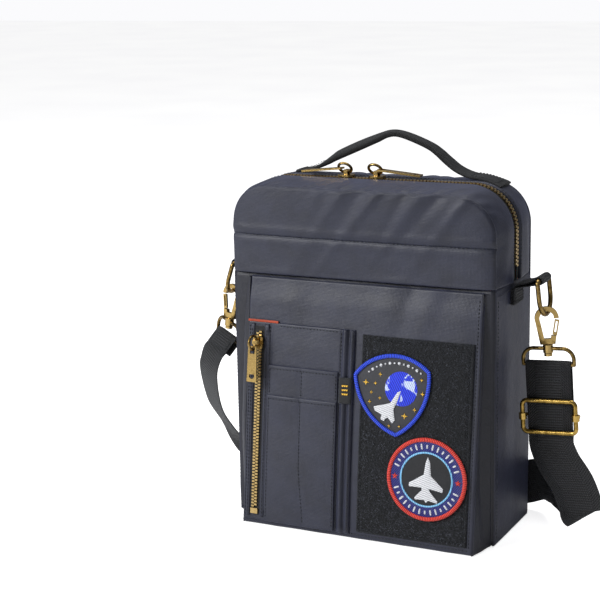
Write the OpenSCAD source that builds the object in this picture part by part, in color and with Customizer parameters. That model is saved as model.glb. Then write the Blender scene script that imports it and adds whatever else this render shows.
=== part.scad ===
// Upright flight bag with a clamshell zipped mouth, a bellows front pocket,
// a carrying handle and a snap-hook shoulder strap.
// Millimetres. The base rests on z = 0, y = 0 is the main zipper's line, and x = 0 is near the middle
// of the front pocket. The body's own middle is at body_x.

/* [Body] */
// Width across the front
body_w = 230; // [224:1:236]
// Depth from the front wall to the back wall
body_d = 88; // [84:1:96]
// Height of the seam at the top of the front
body_h = 284; // [276:2:300]
// Radius of the two upper corners
corner_r = 34; // [30:1:38]
// Height of the fold line, where the main zipper ends
fold_z = 210; // [204:1:214]
// Rise of the top gusset from its seam to the zipper
crown = 3; // [2.5:0.5:6]
// Thickness of the shell cloth with its backing
cloth_t = 1.6; // [1.2:0.1:1.8]

/* [Front pocket] */
// How far the front pocket stands out at the base
pocket_d = 28; // [22:1:32]
// How far it stands out at its top edge
pocket_top_d = 3; // [3:0.5:5]
// How far the pocket's left edge stays inside the body
pocket_inset_left = 17; // [13:1:19]
// How far the pocket's right edge stays inside the body
pocket_inset = 8; // [4:1:10]
// Width of the sewn-on panel with the zipper and the pen slots
utility_w = 95; // [90:1:98]
// Height of the top edge of the sewn-on panel, along the pocket's front
utility_h = 172; // [166:1:176]
// Width of the square of hook-and-loop pile
loop_w = 95; // [85:1:96]

/* [Patches] */
// Radius of the round patch
round_r = 33.5; // [28:0.5:34]
// Width of the shield patch
shield_w = 66; // [56:1:68]
// Thickness of a patch
patch_t = 2; // [1.5:0.1:2.5]

/* [Zippers] */
// Pitch of the main zipper's teeth
main_pitch = 3; // [2.5:0.25:4]
// Pitch of the pocket zipper's teeth
pocket_pitch = 2.6; // [2.4:0.2:3.6]
// Length of the main zipper's pull tabs
main_pull_l = 34; // [26:1:36]
// Length of the pocket zipper's pull tab
pocket_pull_l = 27; // [22:1:30]

/* [Strap and handle] */
// Width of the shoulder webbing
strap_w = 38; // [36:1:38]
// Thickness of one layer of webbing
strap_t = 1.6; // [1.2:0.1:1.6]
// Radius of the brass wire in the rings, eyes and adjuster
wire_r = 1.9; // [1.7:0.1:1.9]
// Rise of the handle above its sewn ends
handle_rise = 32; // [26:1:36]
// Width of the handle's grip
grip_w = 14; // [12:1:16]

/* [Hidden] */

black_cloth = "#2e3038";
black_web = "#1b1c1f";
black_pile = "#141517";
brass = "#8f7442";
orange = "#d8603a";

half_w = body_w / 2;
body_x = 107 - half_w;   // the body's middle: its right side stays at x = 107
half_d = body_d / 2;
top_half = half_w - corner_r;
arc_z = body_h - corner_r;
joint_gap = 0.4;        // between the mouth's pieces and the body's
lining_in = 1.9;        // the lining lies this far inside the shell
lining_t = 0.8;
zip_gap = 0.15;         // half the slit between the two rows of teeth
tape_edge = 2;          // the tapes' beaded edges, from the slit
tape_w = 8;             // each tape reaches this far from the slit
tooth_l = 2.8;
tooth_h = 1.2;
$fn = 32;

// ---------- panels ----------

// Outline of the front and the back, as seen from the front, taken in by an inset.
module outline(inset = 0) {
    r = corner_r - inset;
    translate([body_x, 0]) {
        translate([-half_w + inset, inset]) square([body_w - 2 * inset, arc_z - inset]);
        translate([-top_half, inset]) square([2 * top_half, body_h - 2 * inset]);
        for (side = [-1, 1]) translate([side * top_half, arc_z]) circle(r = r);
    }
}

// Stands a shape drawn in x and z upright, from y0 to y1.
module upright(y0, y1) {
    translate([0, y1, 0]) rotate([90, 0, 0]) linear_extrude(y1 - y0) children();
}

module back_panel() {
    color(black_cloth) upright(half_d - cloth_t, half_d) outline();
}

module bottom_panel() {
    color(black_cloth) translate([body_x - half_w, -half_d, 0])
        cube([body_w, body_d - cloth_t, cloth_t]);
}

module side_panel(side) {
    color(black_cloth) translate([body_x + (side > 0 ? half_w - cloth_t : -half_w), -half_d + cloth_t, cloth_t])
        cube([cloth_t, body_d - 2 * cloth_t, fold_z - cloth_t]);
}

module front_panel() {
    color(black_cloth) translate([body_x - half_w, -half_d, cloth_t])
        cube([body_w, cloth_t, fold_z - cloth_t]);
}

// The front above the fold line: the band next to the pocket, then the top panel.
band_top = fold_z + 34;

module front_band() {
    color(black_cloth) translate([body_x - half_w, -half_d, fold_z + joint_gap])
        cube([body_w, cloth_t, band_top - fold_z - joint_gap]);
}

module top_front_panel() {
    color(black_cloth) upright(-half_d, -half_d + cloth_t) intersection() {
        outline();
        translate([body_x - half_w, band_top]) square([body_w, body_h]);
    }
}

// Sweeps points [outward, y] over the arch from z0 up one side, over the top and down the other.
module arch(points, z0) {
    over = [for (p = points) [p[1], corner_r + p[0]]];
    turn = [for (p = points) [corner_r + p[0], -p[1]]];
    side = [for (p = points) [half_w + p[0], p[1]]];
    translate([body_x - top_half, 0, arc_z]) rotate([90, 0, 90])
        linear_extrude(2 * top_half) polygon(over);
    for (m = [0, 1]) translate([body_x, 0, 0]) mirror([m, 0, 0]) {
        translate([top_half, 0, arc_z]) rotate([90, 0, 0])
            rotate_extrude(angle = 90, $fn = 48) polygon(turn);
        translate([0, 0, z0]) linear_extrude(arc_z - z0) polygon(side);
    }
}

// One half of the crowned top gusset; dir is -1 for the mouth's half and 1 for the rear half.
module gusset(dir, z0) {
    y_seam = dir * (half_d - cloth_t);
    y_mid = dir * (half_d * 0.6);
    y_tape = dir * (tape_w - 1);
    low = -cloth_t;
    arch([[low, y_seam], [0, y_seam], [crown * 0.6, y_mid], [crown, y_tape],
          [crown + low, y_tape], [crown * 0.6 + low, y_mid]], z0);
}

module zip_tape(dir, z0) {
    low = crown - cloth_t - 1;
    arch([[low, dir * tape_edge], [low + 0.8, dir * tape_edge],
          [low + 0.8, dir * tape_w], [low, dir * tape_w]], z0);
}

// Place on the arch at length s from z0 up the left side: [x, z, turn about y].
function arch_pose(s, out, z0) =
    let (side_l = arc_z - z0, arc_l = (corner_r + out) * PI / 2, over_l = 2 * top_half,
         r = corner_r + out)
    s < side_l ? [-half_w - out, z0 + s, -90] :
    s < side_l + arc_l ? let (a = (s - side_l) / r * 180 / PI)
        [-top_half - r * cos(a), arc_z + r * sin(a), a - 90] :
    s < side_l + arc_l + over_l ? [-top_half + s - side_l - arc_l, arc_z + r, 0] :
    s < side_l + 2 * arc_l + over_l ? let (a = (s - side_l - arc_l - over_l) / r * 180 / PI)
        [top_half + r * sin(a), arc_z + r * cos(a), a] :
    [half_w + out, arc_z - (s - side_l - 2 * arc_l - over_l), 90];

teeth_z0 = fold_z + 8;
teeth_out = crown - cloth_t;
teeth_l = 2 * (arc_z - teeth_z0) + PI * (corner_r + teeth_out) + 2 * top_half;

module teeth(dir) {
    count = floor(teeth_l / main_pitch);
    shift = dir > 0 ? 0 : main_pitch / 2;
    for (i = [1 : count - 1]) {
        p = arch_pose(i * main_pitch - shift, teeth_out, teeth_z0);
        translate([body_x + p[0], 0, p[1]]) rotate([0, p[2], 0])
            translate([-main_pitch * 0.3, dir > 0 ? zip_gap : -zip_gap - tooth_l, 0])
                cube([main_pitch * 0.6, tooth_l, tooth_h]);
    }
}

// ---------- lining and base board ----------

module lining_shell() {
    deep = half_d - lining_in;
    difference() {
        upright(-deep, deep) outline(lining_in);
        upright(-deep + lining_t, deep - lining_t) outline(lining_in + lining_t);
    }
}

module mouth_zone(gap) {
    translate([-body_w, -body_d, fold_z + gap]) cube([2 * body_w, body_d - gap, body_h]);
}

module lining() {
    color(orange) difference() {
        lining_shell();
        mouth_zone(0);
    }
}

module mouth_lining() {
    color(orange) intersection() {
        lining_shell();
        mouth_zone(joint_gap);
    }
}

base_board_t = 2.4;

module base_board() {
    in = lining_in + lining_t + 1;
    color("#3a3a3c") translate([body_x - half_w + in, -half_d + in, lining_in + lining_t + 0.1])
        cube([body_w - 2 * in, body_d - 2 * in, base_board_t]);
}

// ---------- front pocket ----------

pocket_slope = atan((pocket_d - pocket_top_d) / fold_z);
pocket_face_h = fold_z / cos(pocket_slope);
pocket_left = body_x - half_w + pocket_inset_left;
pocket_right = body_x + half_w - pocket_inset;

// The pocket's sloping face: x across, z up along the face, -y outward, from the base line.
module on_pocket() {
    translate([0, -half_d - pocket_d, 0]) rotate([-pocket_slope, 0, 0]) children();
}

// A flat layer on the pocket's face, from n0 to n1 outward.
module face_layer(n0, n1) {
    on_pocket() translate([0, -n0, 0]) rotate([90, 0, 0]) linear_extrude(n1 - n0) children();
}

pocket_top_cut = 3;     // the pocket's cloth ends this far under the fold line

module pocket_front() {
    color(black_cloth) face_layer(-cloth_t, 0)
        translate([pocket_left, 1]) square([pocket_right - pocket_left, pocket_face_h - pocket_top_cut - 1]);
}

// A bellows side wall, a wedge that follows the pocket's slope.
module pocket_gusset(x0) {
    slope = (pocket_d - pocket_top_d) / fold_z;
    inside = cloth_t / cos(pocket_slope) + 0.05;
    z1 = fold_z - pocket_top_cut - 1;
    y_at = [for (z = [cloth_t, z1]) -half_d - pocket_d + z * slope + inside];
    color(black_cloth) translate([x0, 0, 0]) rotate([90, 0, 90]) linear_extrude(cloth_t)
        polygon([[y_at[0], cloth_t], [-half_d, cloth_t], [-half_d, z1], [y_at[1], z1]]);
}

module pocket_base() {
    inside = cloth_t / cos(pocket_slope) + 0.25;
    color(black_cloth) translate([pocket_left, -half_d - pocket_d + inside, 0])
        cube([pocket_right - pocket_left, pocket_d - inside, cloth_t]);
}

utility_left = pocket_left + 1;
utility_right = utility_left + utility_w;
utility_t = 1.4;
pen_t = 1.2;
pen_left = utility_left + 20;
pen_right = utility_right - 3;
pen_top_rear = utility_h - 35;
pen_top_front = utility_h - 60;
face_foot = 4;          // the sewn-on pieces start this far up the face

module utility_panel() {
    color(black_cloth) face_layer(0, utility_t)
        translate([utility_left, face_foot]) square([utility_w, utility_h - face_foot]);
}

module pen_layer(top, n0) {
    color(black_cloth) face_layer(n0, n0 + pen_t)
        translate([pen_left, face_foot]) square([pen_right - pen_left, top - face_foot]);
}

module rescue_trim() {
    color(orange) face_layer(0, utility_t)
        translate([utility_left, utility_h]) square([28, 2.2]);
}

label_h = 20;
label_w = 4.5;

// A woven tape folded round the pen slots' right edge.
module side_label() {
    n_front = utility_t + 2 * pen_t;
    color("#232428") face_layer(utility_t, n_front)
        translate([pen_right, pen_top_rear - label_h - 5]) square([label_w, label_h]);
}

loop_left = utility_right + 9;
loop_t = 1.6;

module loop_panel() {
    color(black_pile) face_layer(0, loop_t)
        translate([loop_left, face_foot + 3]) square([loop_w, utility_h - face_foot - 6]);
}

// ---------- patches ----------

patch_gap = 0.3;
border_w = 3;
patch_n = loop_t + patch_gap;
round_at = [loop_left + 60.4, 58.5];
shield_at = [loop_left + 29.3, 124];
shield_turn = 6.4;

// A shield: an arched top, and two bowed sides that meet at the foot.
module shield(inset) {
    k = shield_w / 66;
    side_r = 54 * k - inset;
    top_r = 43.8 * k - inset;
    rotate(shield_turn) intersection() {
        translate([20.9 * k, 15.2 * k]) circle(r = side_r, $fn = 96);
        translate([-20.9 * k, 15.2 * k]) circle(r = side_r, $fn = 96);
        translate([0, -11.8 * k]) circle(r = top_r, $fn = 96);
    }
}

module patch_shield() {
    color("#2b2c30") face_layer(patch_n, patch_n + patch_t - 0.4)
        translate(shield_at) shield(border_w - 0.2);
}

module patch_shield_border() {
    color("#2447c9") face_layer(patch_n, patch_n + patch_t) translate(shield_at) difference() {
        shield(0);
        shield(border_w - 0.2);
    }
}

module patch_round() {
    color("#1c1f4a") face_layer(patch_n, patch_n + patch_t - 0.4)
        translate(round_at) circle(r = round_r - border_w);
}

module patch_round_border() {
    color("#c8342d") face_layer(patch_n, patch_n + patch_t) translate(round_at) difference() {
        circle(r = round_r);
        circle(r = round_r - border_w);
    }
}

// ---------- pocket zipper ----------

pzip_x = utility_left + 11;
pzip_top = utility_h - 8;
pzip_foot = 13;
pzip_n = utility_t;
pzip_tape_t = 0.5;
pzip_tape_w = 12;
pzip_tooth = [2.3, 1.5];

module pocket_zip_tape() {
    color(black_web) face_layer(pzip_n, pzip_n + pzip_tape_t)
        translate([pzip_x - pzip_tape_w / 2, pzip_foot - 3])
            square([pzip_tape_w, pzip_top - pzip_foot + 6]);
}

module pocket_zip_teeth() {
    n = pzip_n + pzip_tape_t;
    count = floor((pzip_top - pzip_foot) / pocket_pitch);
    color(brass) face_layer(n, n + pzip_tooth[1]) {
        for (i = [1 : count - 1], side = [-1, 1]) {
            z = pzip_foot + (i + (side > 0 ? 0.5 : 0)) * pocket_pitch;
            translate([pzip_x + (side > 0 ? zip_gap : -zip_gap - pzip_tooth[0]), z])
                square([pzip_tooth[0], pocket_pitch * 0.6]);
        }
        translate([pzip_x - 3.2, pzip_foot - 3]) square([6.4, 4.5]);
    }
}

// ---------- zipper sliders and pulls ----------

slider_t = 1.8;
bridge_h = 4.2;
link_wire = 1.15;
link_seat = link_wire + 0.3;

// A slider's plate, nose towards +x, with a bridge across it. Its underside is z = 0.
module slider(l, w) {
    linear_extrude(slider_t) polygon([[-l / 2, -w * 0.42], [-l * 0.2, -w / 2], [l * 0.3, -w / 2],
        [l / 2, -w * 0.3], [l / 2, w * 0.3], [l * 0.3, w / 2], [-l * 0.2, w / 2], [-l / 2, w * 0.42]]);
    for (side = [-1, 1]) translate([-1.6, side * 2.6 - 0.6, slider_t]) cube([3.2, 1.2, bridge_h]);
    translate([-1.6, -3.2, slider_t + 2 * link_seat]) cube([3.2, 6.4, bridge_h - 2 * link_seat]);
}

// Ring through the bridge, in the x-z plane, its centre over the bridge.
module link(r) {
    translate([0, 0, slider_t + link_seat + r]) rotate([90, 0, 0])
        rotate_extrude($fn = 48) translate([r, 0]) circle(r = link_wire, $fn = 24);
}

pull_t = 1.5;

// Pull tab: lies along -x from the ring, with a slot for the ring and a D-shaped hole near its end.
module pull(r, l, w) {
    head = r - link_wire - 1.8;
    linear_extrude(pull_t, center = true) difference() {
        polygon([[-head, -w * 0.42], [-head, w * 0.42], [-r - l, w / 2], [-r - l, -w / 2]]);
        translate([-r - 3.4, -2.3]) square([3.4 + link_wire + 0.5, 4.6]);
        intersection() {
            translate([-r - l + 5, 0]) circle(r = w * 0.27, $fn = 24);
            translate([-r - l + 2.4, -w]) square([4, 2 * w]);
        }
    }
}

main_link_r = 5.6;
main_slider = [12, 11];
main_seat = teeth_out + tooth_h + 0.3;
main_top_z = arc_z + corner_r + main_seat;
main_x = [-38, -11];    // where the two closed sliders stand
main_droop = 8;         // the pulls' free ends drop by this angle
main_flop = 40;         // the rings lean forward by this angle

// Stands a slider's piece on the zipper; side -1 has its pull to the left.
module at_main(side) {
    translate([main_x[side < 0 ? 0 : 1], 0, main_top_z]) mirror([side < 0 ? 0 : 1, 0, 0]) children();
}

module main_slider(side) { color(brass) at_main(side) slider(main_slider[0], main_slider[1]); }

module main_link(side) {
    color(brass) at_main(side) translate([0, 0, slider_t + link_seat])
        rotate([main_flop, 0, 0]) translate([0, 0, -slider_t - link_seat]) link(main_link_r);
}

module main_pull(side) {
    out = slider_t + link_seat + main_link_r * cos(main_flop);
    color(brass) at_main(side) translate([0, -main_link_r * sin(main_flop), out])
        rotate([main_flop, 0, 0]) rotate([0, -main_droop, 0]) rotate([-main_flop, 0, 0])
            pull(main_link_r, main_pull_l, 9);
}

pocket_link_r = 5.6;
pocket_flop = 8;       // the ring leans this far to the left of straight out
pslider_at = pzip_top - 9;
pslider_n = pzip_n + pzip_tape_t + pzip_tooth[1] + 0.3;

// Stands a slider's piece on the pocket's zipper: its +x points up the face.
module at_pocket_zip() {
    on_pocket() translate([pzip_x, -pslider_n, pslider_at])
        rotate([90, 0, 0]) rotate([0, 0, 90]) children();
}

module pocket_slider() { color(brass) at_pocket_zip() slider(11, 9); }

module pocket_link() {
    color(brass) at_pocket_zip() translate([0, 0, slider_t + link_seat])
        rotate([-pocket_flop, 0, 0]) translate([0, 0, -slider_t - link_seat]) link(pocket_link_r);
}

module pocket_pull() {
    out = slider_t + link_seat + pocket_link_r * cos(pocket_flop);
    color(brass) at_pocket_zip() translate([0, pocket_link_r * sin(pocket_flop), out])
        pull(pocket_link_r, pocket_pull_l, 9);
}

// ---------- handle ----------

handle_y = 22;
handle_z = body_h + crown + 0.1;
handle_foot = 58;       // the arch leaves the sewn ends this far from the middle
grip_half = 44;         // half of the length that swings
foot_l = 27;
foot_w = 23;
foot_t = 2.4;
grip_t = 3.2;

function handle_at(x) = handle_z + foot_t + 0.5 + handle_rise * pow(0.5 + 0.5 * cos(180 * x / handle_foot), 0.8);

module handle_arch(x0, x1, steps) {
    xs = [for (i = [0 : steps]) x0 + (x1 - x0) * i / steps];
    under = [for (x = xs) [x, handle_at(x)]];
    over = [for (i = [steps : -1 : 0]) [xs[i], handle_at(xs[i]) + grip_t]];
    upright(handle_y - grip_w / 2, handle_y + grip_w / 2) polygon(concat(under, over));
}

module handle_base(side) {
    color(black_web) mirror([side > 0 ? 0 : 1, 0, 0]) {
        translate([handle_foot - 3, handle_y - foot_w / 2, handle_z]) cube([foot_l, foot_w, foot_t]);
        handle_arch(grip_half + 0.4, handle_foot, 4);
        translate([handle_foot - 3, handle_y - grip_w / 2, handle_z + foot_t]) cube([3, grip_w, 1]);
    }
}

module handle_grip() { color(black_web) handle_arch(-grip_half, grip_half, 24); }

// ---------- strap fittings ----------

tab_w = 23;
bar_z = 213;            // height of the ring's straight bar above the base
// Left, then right: where the ring's bar is, outward lean of the ring and of the hook, turn of the
// hook and of the eye, and forward lean of the webbing.
hang_x = [-140, 131];
hang_z = [bar_z - 4, bar_z];
ring_lean = [18, 6.5];
hook_lean = [8, 3.5];
hook_turn = [164, 22];
eye_turn = [-36, 0];
web_back = [-35, 0];
function pick(pair, side) = pair[side < 0 ? 0 : 1];
function bar_at(side) = [pick(hang_x, side), 0, pick(hang_z, side)];
function foot_at(side) = let (l = ring_leg + ring_half, a = pick(ring_lean, side))
    bar_at(side) + l * [side * sin(a), 0, -cos(a)];

// Webbing tab: sewn to the side below the fold line, then out to a loop round the ring's bar.
module tab(side) {
    at = bar_at(side);
    out = abs(at[0]);
    wall = half_w + side * body_x;
    z = at[2];
    t = 2 * strap_t;
    color(black_web) mirror([side < 0 ? 1 : 0, 0, 0]) upright(-tab_w / 2, tab_w / 2) {
        polygon([[wall, z - 20], [wall + t, z - 20], [wall + t, z - 9], [wall, z - 6.5]]);
        polygon([[wall, z - 6.5], [wall + t, z - 9], [out - 0.5, z - 3.4], [out - 3, z + 1.6]]);
        translate([out, z]) difference() {
            circle(r = wire_r + 0.1 + strap_t);
            circle(r = wire_r + 0.1);
        }
    }
}

ring_half = 14.5;
ring_corner = 2.6;
ring_leg = 14;

module rod(l, r = wire_r) { cylinder(h = l, r = r, center = true); }

// Quarter or half bend of round wire in the y-z plane.
module bend(r, from, to, wire = wire_r) {
    rotate([90, 0, 90]) rotate([0, 0, from])
        rotate_extrude(angle = to - from, $fn = 48) translate([r, 0]) circle(r = wire, $fn = 24);
}

// D ring: bar along y at the origin, two legs and a round foot below.
module ring_shape() {
    rotate([90, 0, 0]) rod(2 * (ring_half - ring_corner));
    for (s = [-1, 1]) {
        translate([0, s * (ring_half - ring_corner), -ring_corner])
            bend(ring_corner, s > 0 ? 0 : 90, s > 0 ? 90 : 180);
        translate([0, s * ring_half, -ring_corner - (ring_leg - ring_corner) / 2]) rod(ring_leg - ring_corner);
    }
    translate([0, 0, -ring_leg]) bend(ring_half, 180, 360);
}

module ring(side) {
    color(brass) translate(bar_at(side)) rotate([0, -side * pick(ring_lean, side), 0]) ring_shape();
}

// The hook's own frame: swivel axis up +z from its base, the gate on +x.
hook_t = 3.6;
hook_eye_z = 21;
hook_out_r = 9.5;
hook_in_r = 5.7;
hook_drop = hook_eye_z + hook_in_r - wire_r - 0.4;
gate_lean = 11;
gate_foot = [5, 7.4];
gate_l = 12.4;
stem_r = 2;
barrel_h = 6.4;

// Hangs a piece from the ring's foot, turned about the swivel.
module at_swivel(side, turn) {
    translate(foot_at(side)) rotate([0, -side * pick(hook_lean, side), 0])
        translate([0, 0, -hook_drop]) rotate([0, 0, turn]) children();
}

module at_hook(side) { at_swivel(side, pick(hook_turn, side)) children(); }

module hook(side) {
    color(brass) at_hook(side) {
        rotate([90, 0, 0]) linear_extrude(hook_t, center = true) difference() {
            union() {
                translate([0, hook_eye_z]) circle(r = hook_out_r);
                polygon([[-hook_out_r, hook_eye_z], [hook_out_r, hook_eye_z], [6, 0], [-6, 0]]);
            }
            translate([0, hook_eye_z]) circle(r = hook_in_r);
            polygon([[-hook_in_r, hook_eye_z], [hook_in_r, hook_eye_z], [2.6, 4.5], [-2.6, 4.5]]);
            translate([1.5, gate_foot[1] - 0.6]) square([12, gate_l + 1.6]);
        }
        translate([0, 0, -barrel_h / 2 - 0.6]) rod(barrel_h + 1.4, stem_r);
        translate([0, 0, -barrel_h - 2.1]) rod(2.2, 3.3);
    }
}

// Wire gate: a flat loop that closes the hook's side.
module gate(side) {
    color(brass) at_hook(side) translate([gate_foot[0], 0, gate_foot[1]]) rotate([0, gate_lean, 0])
        rotate([90, 0, 0]) linear_extrude(2, center = true) difference() {
            translate([-1, 0]) square([3.6, gate_l]);
            translate([0, 2]) square([1.6, gate_l - 3.2]);
        }
}

eye_r = 1.6;
eye_half = strap_w / 2 + eye_r + 0.3;
eye_corner = 9;
eye_top = -barrel_h / 2 - 0.4;
eye_bar = eye_top - 13;

module at_eye(side) { at_swivel(side, pick(eye_turn, side)) children(); }

// Swivel eye: a bored barrel on a low D whose lower bar carries the webbing.
module eye(side) {
    leg = eye_top - eye_bar - eye_corner;
    color(brass) at_eye(side) difference() {
        union() {
            translate([0, 0, eye_top]) rod(barrel_h, 4);
            rotate([0, 0, 90]) {
                translate([0, 0, eye_top]) rotate([90, 0, 0]) rod(2 * (eye_half - eye_corner), eye_r);
                for (s = [-1, 1]) {
                    translate([0, s * (eye_half - eye_corner), eye_top - eye_corner])
                        bend(eye_corner, s > 0 ? 0 : 90, s > 0 ? 90 : 180, eye_r);
                    translate([0, s * eye_half, eye_bar + leg / 2]) rod(leg, eye_r);
                    translate([0, s * eye_half, eye_bar]) sphere(r = eye_r, $fn = 24);
                }
                translate([0, 0, eye_bar]) rotate([90, 0, 0]) rod(2 * eye_half, eye_r);
            }
        }
        translate([0, 0, eye_top]) rod(barrel_h + 2, stem_r + 0.06);
    }
}

loop_r = eye_r + 0.15;         // inside of the webbing's loop round the eye's bar
end_drop_left = 14;
run_drop_right = 59;
tail_drop_right = 46;

// Webbing looped over the eye's lower bar; each leg has its own length.
module webbing_loop(front_l, rear_l) {
    rotate([90, 0, 90]) linear_extrude(strap_w - 0.6, center = true) {
        intersection() {
            difference() {
                circle(r = loop_r + strap_t);
                circle(r = loop_r);
            }
            translate([-10, 0]) square([20, 10]);
        }
        translate([-loop_r - strap_t, -front_l]) square([strap_t, front_l]);
        translate([loop_r, -rear_l]) square([strap_t, rear_l]);
    }
}

// Hangs a piece from the eye's lower bar, along the webbing's lean.
module at_web(side) {
    at_eye(side) translate([0, 0, eye_bar])
        rotate([pick(web_back, side), 0, 0]) children();
}

module strap_end(side) {
    color(black_web) at_web(side)
        webbing_loop(side > 0 ? run_drop_right : end_drop_left, side > 0 ? tail_drop_right : end_drop_left);
}

// ---------- strap adjuster ----------

frame_half = [strap_w / 2 + wire_r + 1, 13];
frame_corner = 4;
frame_y = -loop_r - strap_t - wire_r - 0.15;
adjuster_drop = 42;     // below the eye's bar

module at_adjuster() { at_web(1) translate([0, 0, -adjuster_drop]) children(); }

module adjuster_frame() {
    hx = frame_half[0] - frame_corner;
    hz = frame_half[1] - frame_corner;
    color(brass) at_adjuster() translate([0, frame_y, 0]) rotate([0, 0, 90]) {
        for (s = [-1, 1]) {
            translate([0, 0, s * frame_half[1]]) rotate([90, 0, 0]) rod(2 * hx);
            translate([0, s * frame_half[0], 0]) rod(2 * hz);
            translate([0, s * hx, hz]) bend(frame_corner, s > 0 ? 0 : 90, s > 0 ? 90 : 180);
            translate([0, s * hx, -hz]) bend(frame_corner, s > 0 ? 270 : 180, s > 0 ? 360 : 270);
        }
    }
}

bar_r = 1.3;
eyelet_t = 1.2;

// Sliding bar: a rod between the two layers, with a collar round each side of the frame.
module adjuster_bar() {
    reach = frame_half[0];
    color(brass) at_adjuster() difference() {
        union() {
            rotate([0, 90, 0]) rod(2 * reach + 4, bar_r);
            for (s = [-1, 1]) {
                translate([s * reach, frame_y, 0]) rod(5, wire_r + 0.1 + eyelet_t);
                translate([s * (reach + 0.6) - 1.5, frame_y, -1.5]) cube([3, -frame_y, 3]);
            }
        }
        for (s = [-1, 1]) translate([s * reach, frame_y, 0]) rod(8, wire_r + 0.1);
    }
}

// ---------- the strap's free length ----------

// Control rings of the webbing: centre, then half of its width as a vector.
// It runs from under the adjuster to a diagonal fold, behind the bag in three runs on its edge,
// and up to the left end.
strap_rings = [
    [[140.4, -2.55, 83.7], [18.7, 0, 1.1]],
    [[141.3, -2.5, 76.5], [18.6, 0, 1.6]],
    [[147, -1.3, 63], [18, 0.3, 4.4]],
    [[157.4, 0.9, 46.4], [17.4, 0.3, 7.2]],
    [[163.6, 3, 29], [16.6, 0, 9.4]],
    [[165.8, 4, 20.6], [16, 0, 10.6]],
    [[167.2, 7, 18.6], [15.6, 0, 11.4]],
    [[163.8, 10, 22.4], [15, 0, 12]],
    [[153.4, 14, 31.6], [12.5, -1, 14.5]],
    [[140, 23, 35], [8, -3, 17]],
    [[127, 36, 33], [5, -6, 17]],
    [[113, 48, 29], [3, -6, 17.5]],
    [[96, 54, 22], [0, -2, 18.6]],
    [[72, 56, 20], [0, 0, 19]],
    [[30, 55, 20], [0, 0, 19]],
    [[-20, 54, 20], [0, 0, 19]],
    [[-70, 55, 20], [0, 0, 19]],
    [[-88, 57, 20], [0, 0, 19]],
    [[-95, 64, 20], [0, 0, 19]],
    [[-88, 71, 20], [0, 0, 19]],
    [[-60, 74, 20], [0, 0, 19]],
    [[0, 70, 20], [0, 0, 19]],
    [[60, 73, 20], [0, 0, 19]],
    [[84, 75, 20], [0, 0, 19]],
    [[92, 82, 20], [0, 0, 19]],
    [[84, 89, 20], [0, 0, 19]],
    [[40, 91, 20], [0, 0, 19]],
    [[-20, 88, 20], [0, 0, 19]],
    [[-76, 89, 20], [0, 0, 19]],
    [[-115, 81, 20.5], [1, 0, 18.8]],
    [[-138, 64, 22.5], [4, -2, 18.2]],
    [[-152, 47, 27], [9, -5, 15.5]],
    [[-162.5, 33, 37], [12, -12, 7]],
    [[-168.5, 21, 53], [11.5, -13.8, 4]],
    [[-171.6, 6, 73], [12.5, -13, 3]],
    [[-170.6, -6, 95], [13.8, -12.3, 1.5]],
    [[-167.6, -13.2, 114], [14.8, -11.3, 0]],
    [[-164.6, -11.2, 126.9], [15, -11, -1.8]],
    [[-162.33, -8.74, 131.3], [15, -11, -2.1]]
];

function spline(p, t) = 0.5 * (2 * p[1] + (p[2] - p[0]) * t
    + (2 * p[0] - 5 * p[1] + 4 * p[2] - p[3]) * t * t
    + (3 * p[1] - p[0] - 3 * p[2] + p[3]) * t * t * t);

function ring_at(i) = strap_rings[max(0, min(len(strap_rings) - 1, i))];
function four(i, k) = [for (j = [-1 : 2]) ring_at(i + j)[k]];
function unit(v) = v / norm(v);

ring_steps = 2;
ring_count = (len(strap_rings) - 1) * ring_steps + 1;
strap_line = [for (n = [0 : ring_count - 1])
    let (i = min(floor(n / ring_steps), len(strap_rings) - 2), t = n / ring_steps - i)
    [spline(four(i, 0), t), spline(four(i, 1), t)]];

function along(n) = unit(strap_line[min(n + 1, ring_count - 1)][0] - strap_line[max(n - 1, 0)][0]);

// The four corners of the webbing's section at ring n.
function section(n) =
    let (c = strap_line[n][0], w = strap_line[n][1], d = along(n),
         half = unit(w - (w * d) * d) * (strap_w / 2 - 0.3), up = unit(cross(d, half)) * strap_t / 2)
    [c + half + up, c - half + up, c - half - up, c + half - up];

module strap_webbing() {
    points = [for (n = [0 : ring_count - 1]) each section(n)];
    sides = [for (n = [0 : ring_count - 2], k = [0 : 3])
        let (a = 4 * n + k, b = 4 * n + (k + 1) % 4)
        each [[a, b, b + 4], [a, b + 4, a + 4]]];
    last = 4 * (ring_count - 1);
    caps = [[3, 2, 1], [3, 1, 0], [last, last + 1, last + 2], [last, last + 2, last + 3]];
    color(black_web) polyhedron(points, [for (f = concat(sides, caps)) [f[2], f[1], f[0]]]);
}

// ---------- nodes ----------

module coloured(c) { color(c) children(); }

back_panel();
bottom_panel();
side_panel(-1);  // side_panel_left
side_panel(1);  // side_panel_right
front_panel();
coloured(black_cloth) gusset(1, fold_z);  // rear_gusset
coloured(black_web) zip_tape(1, fold_z);  // main_zip_tape_rear
coloured(brass) teeth(1);  // main_zip_teeth_rear
lining();
base_board();
pocket_front();
pocket_gusset(pocket_left);  // pocket_gusset_left
pocket_gusset(pocket_right - cloth_t);  // pocket_gusset_right
pocket_base();
utility_panel();
pen_layer(pen_top_rear, utility_t);  // pen_pocket_rear
pen_layer(pen_top_front, utility_t + pen_t);  // pen_pocket_front
rescue_trim();
side_label();
loop_panel();
pocket_zip_tape();
pocket_zip_teeth();
handle_base(-1);  // handle_base_left
handle_base(1);  // handle_base_right
tab(-1);  // tab_left
tab(1);  // tab_right
strap_webbing();
top_front_panel();
front_band();
coloured(black_cloth) gusset(-1, fold_z + joint_gap);  // front_gusset
coloured(black_web) zip_tape(-1, fold_z + joint_gap);  // main_zip_tape_front
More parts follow.
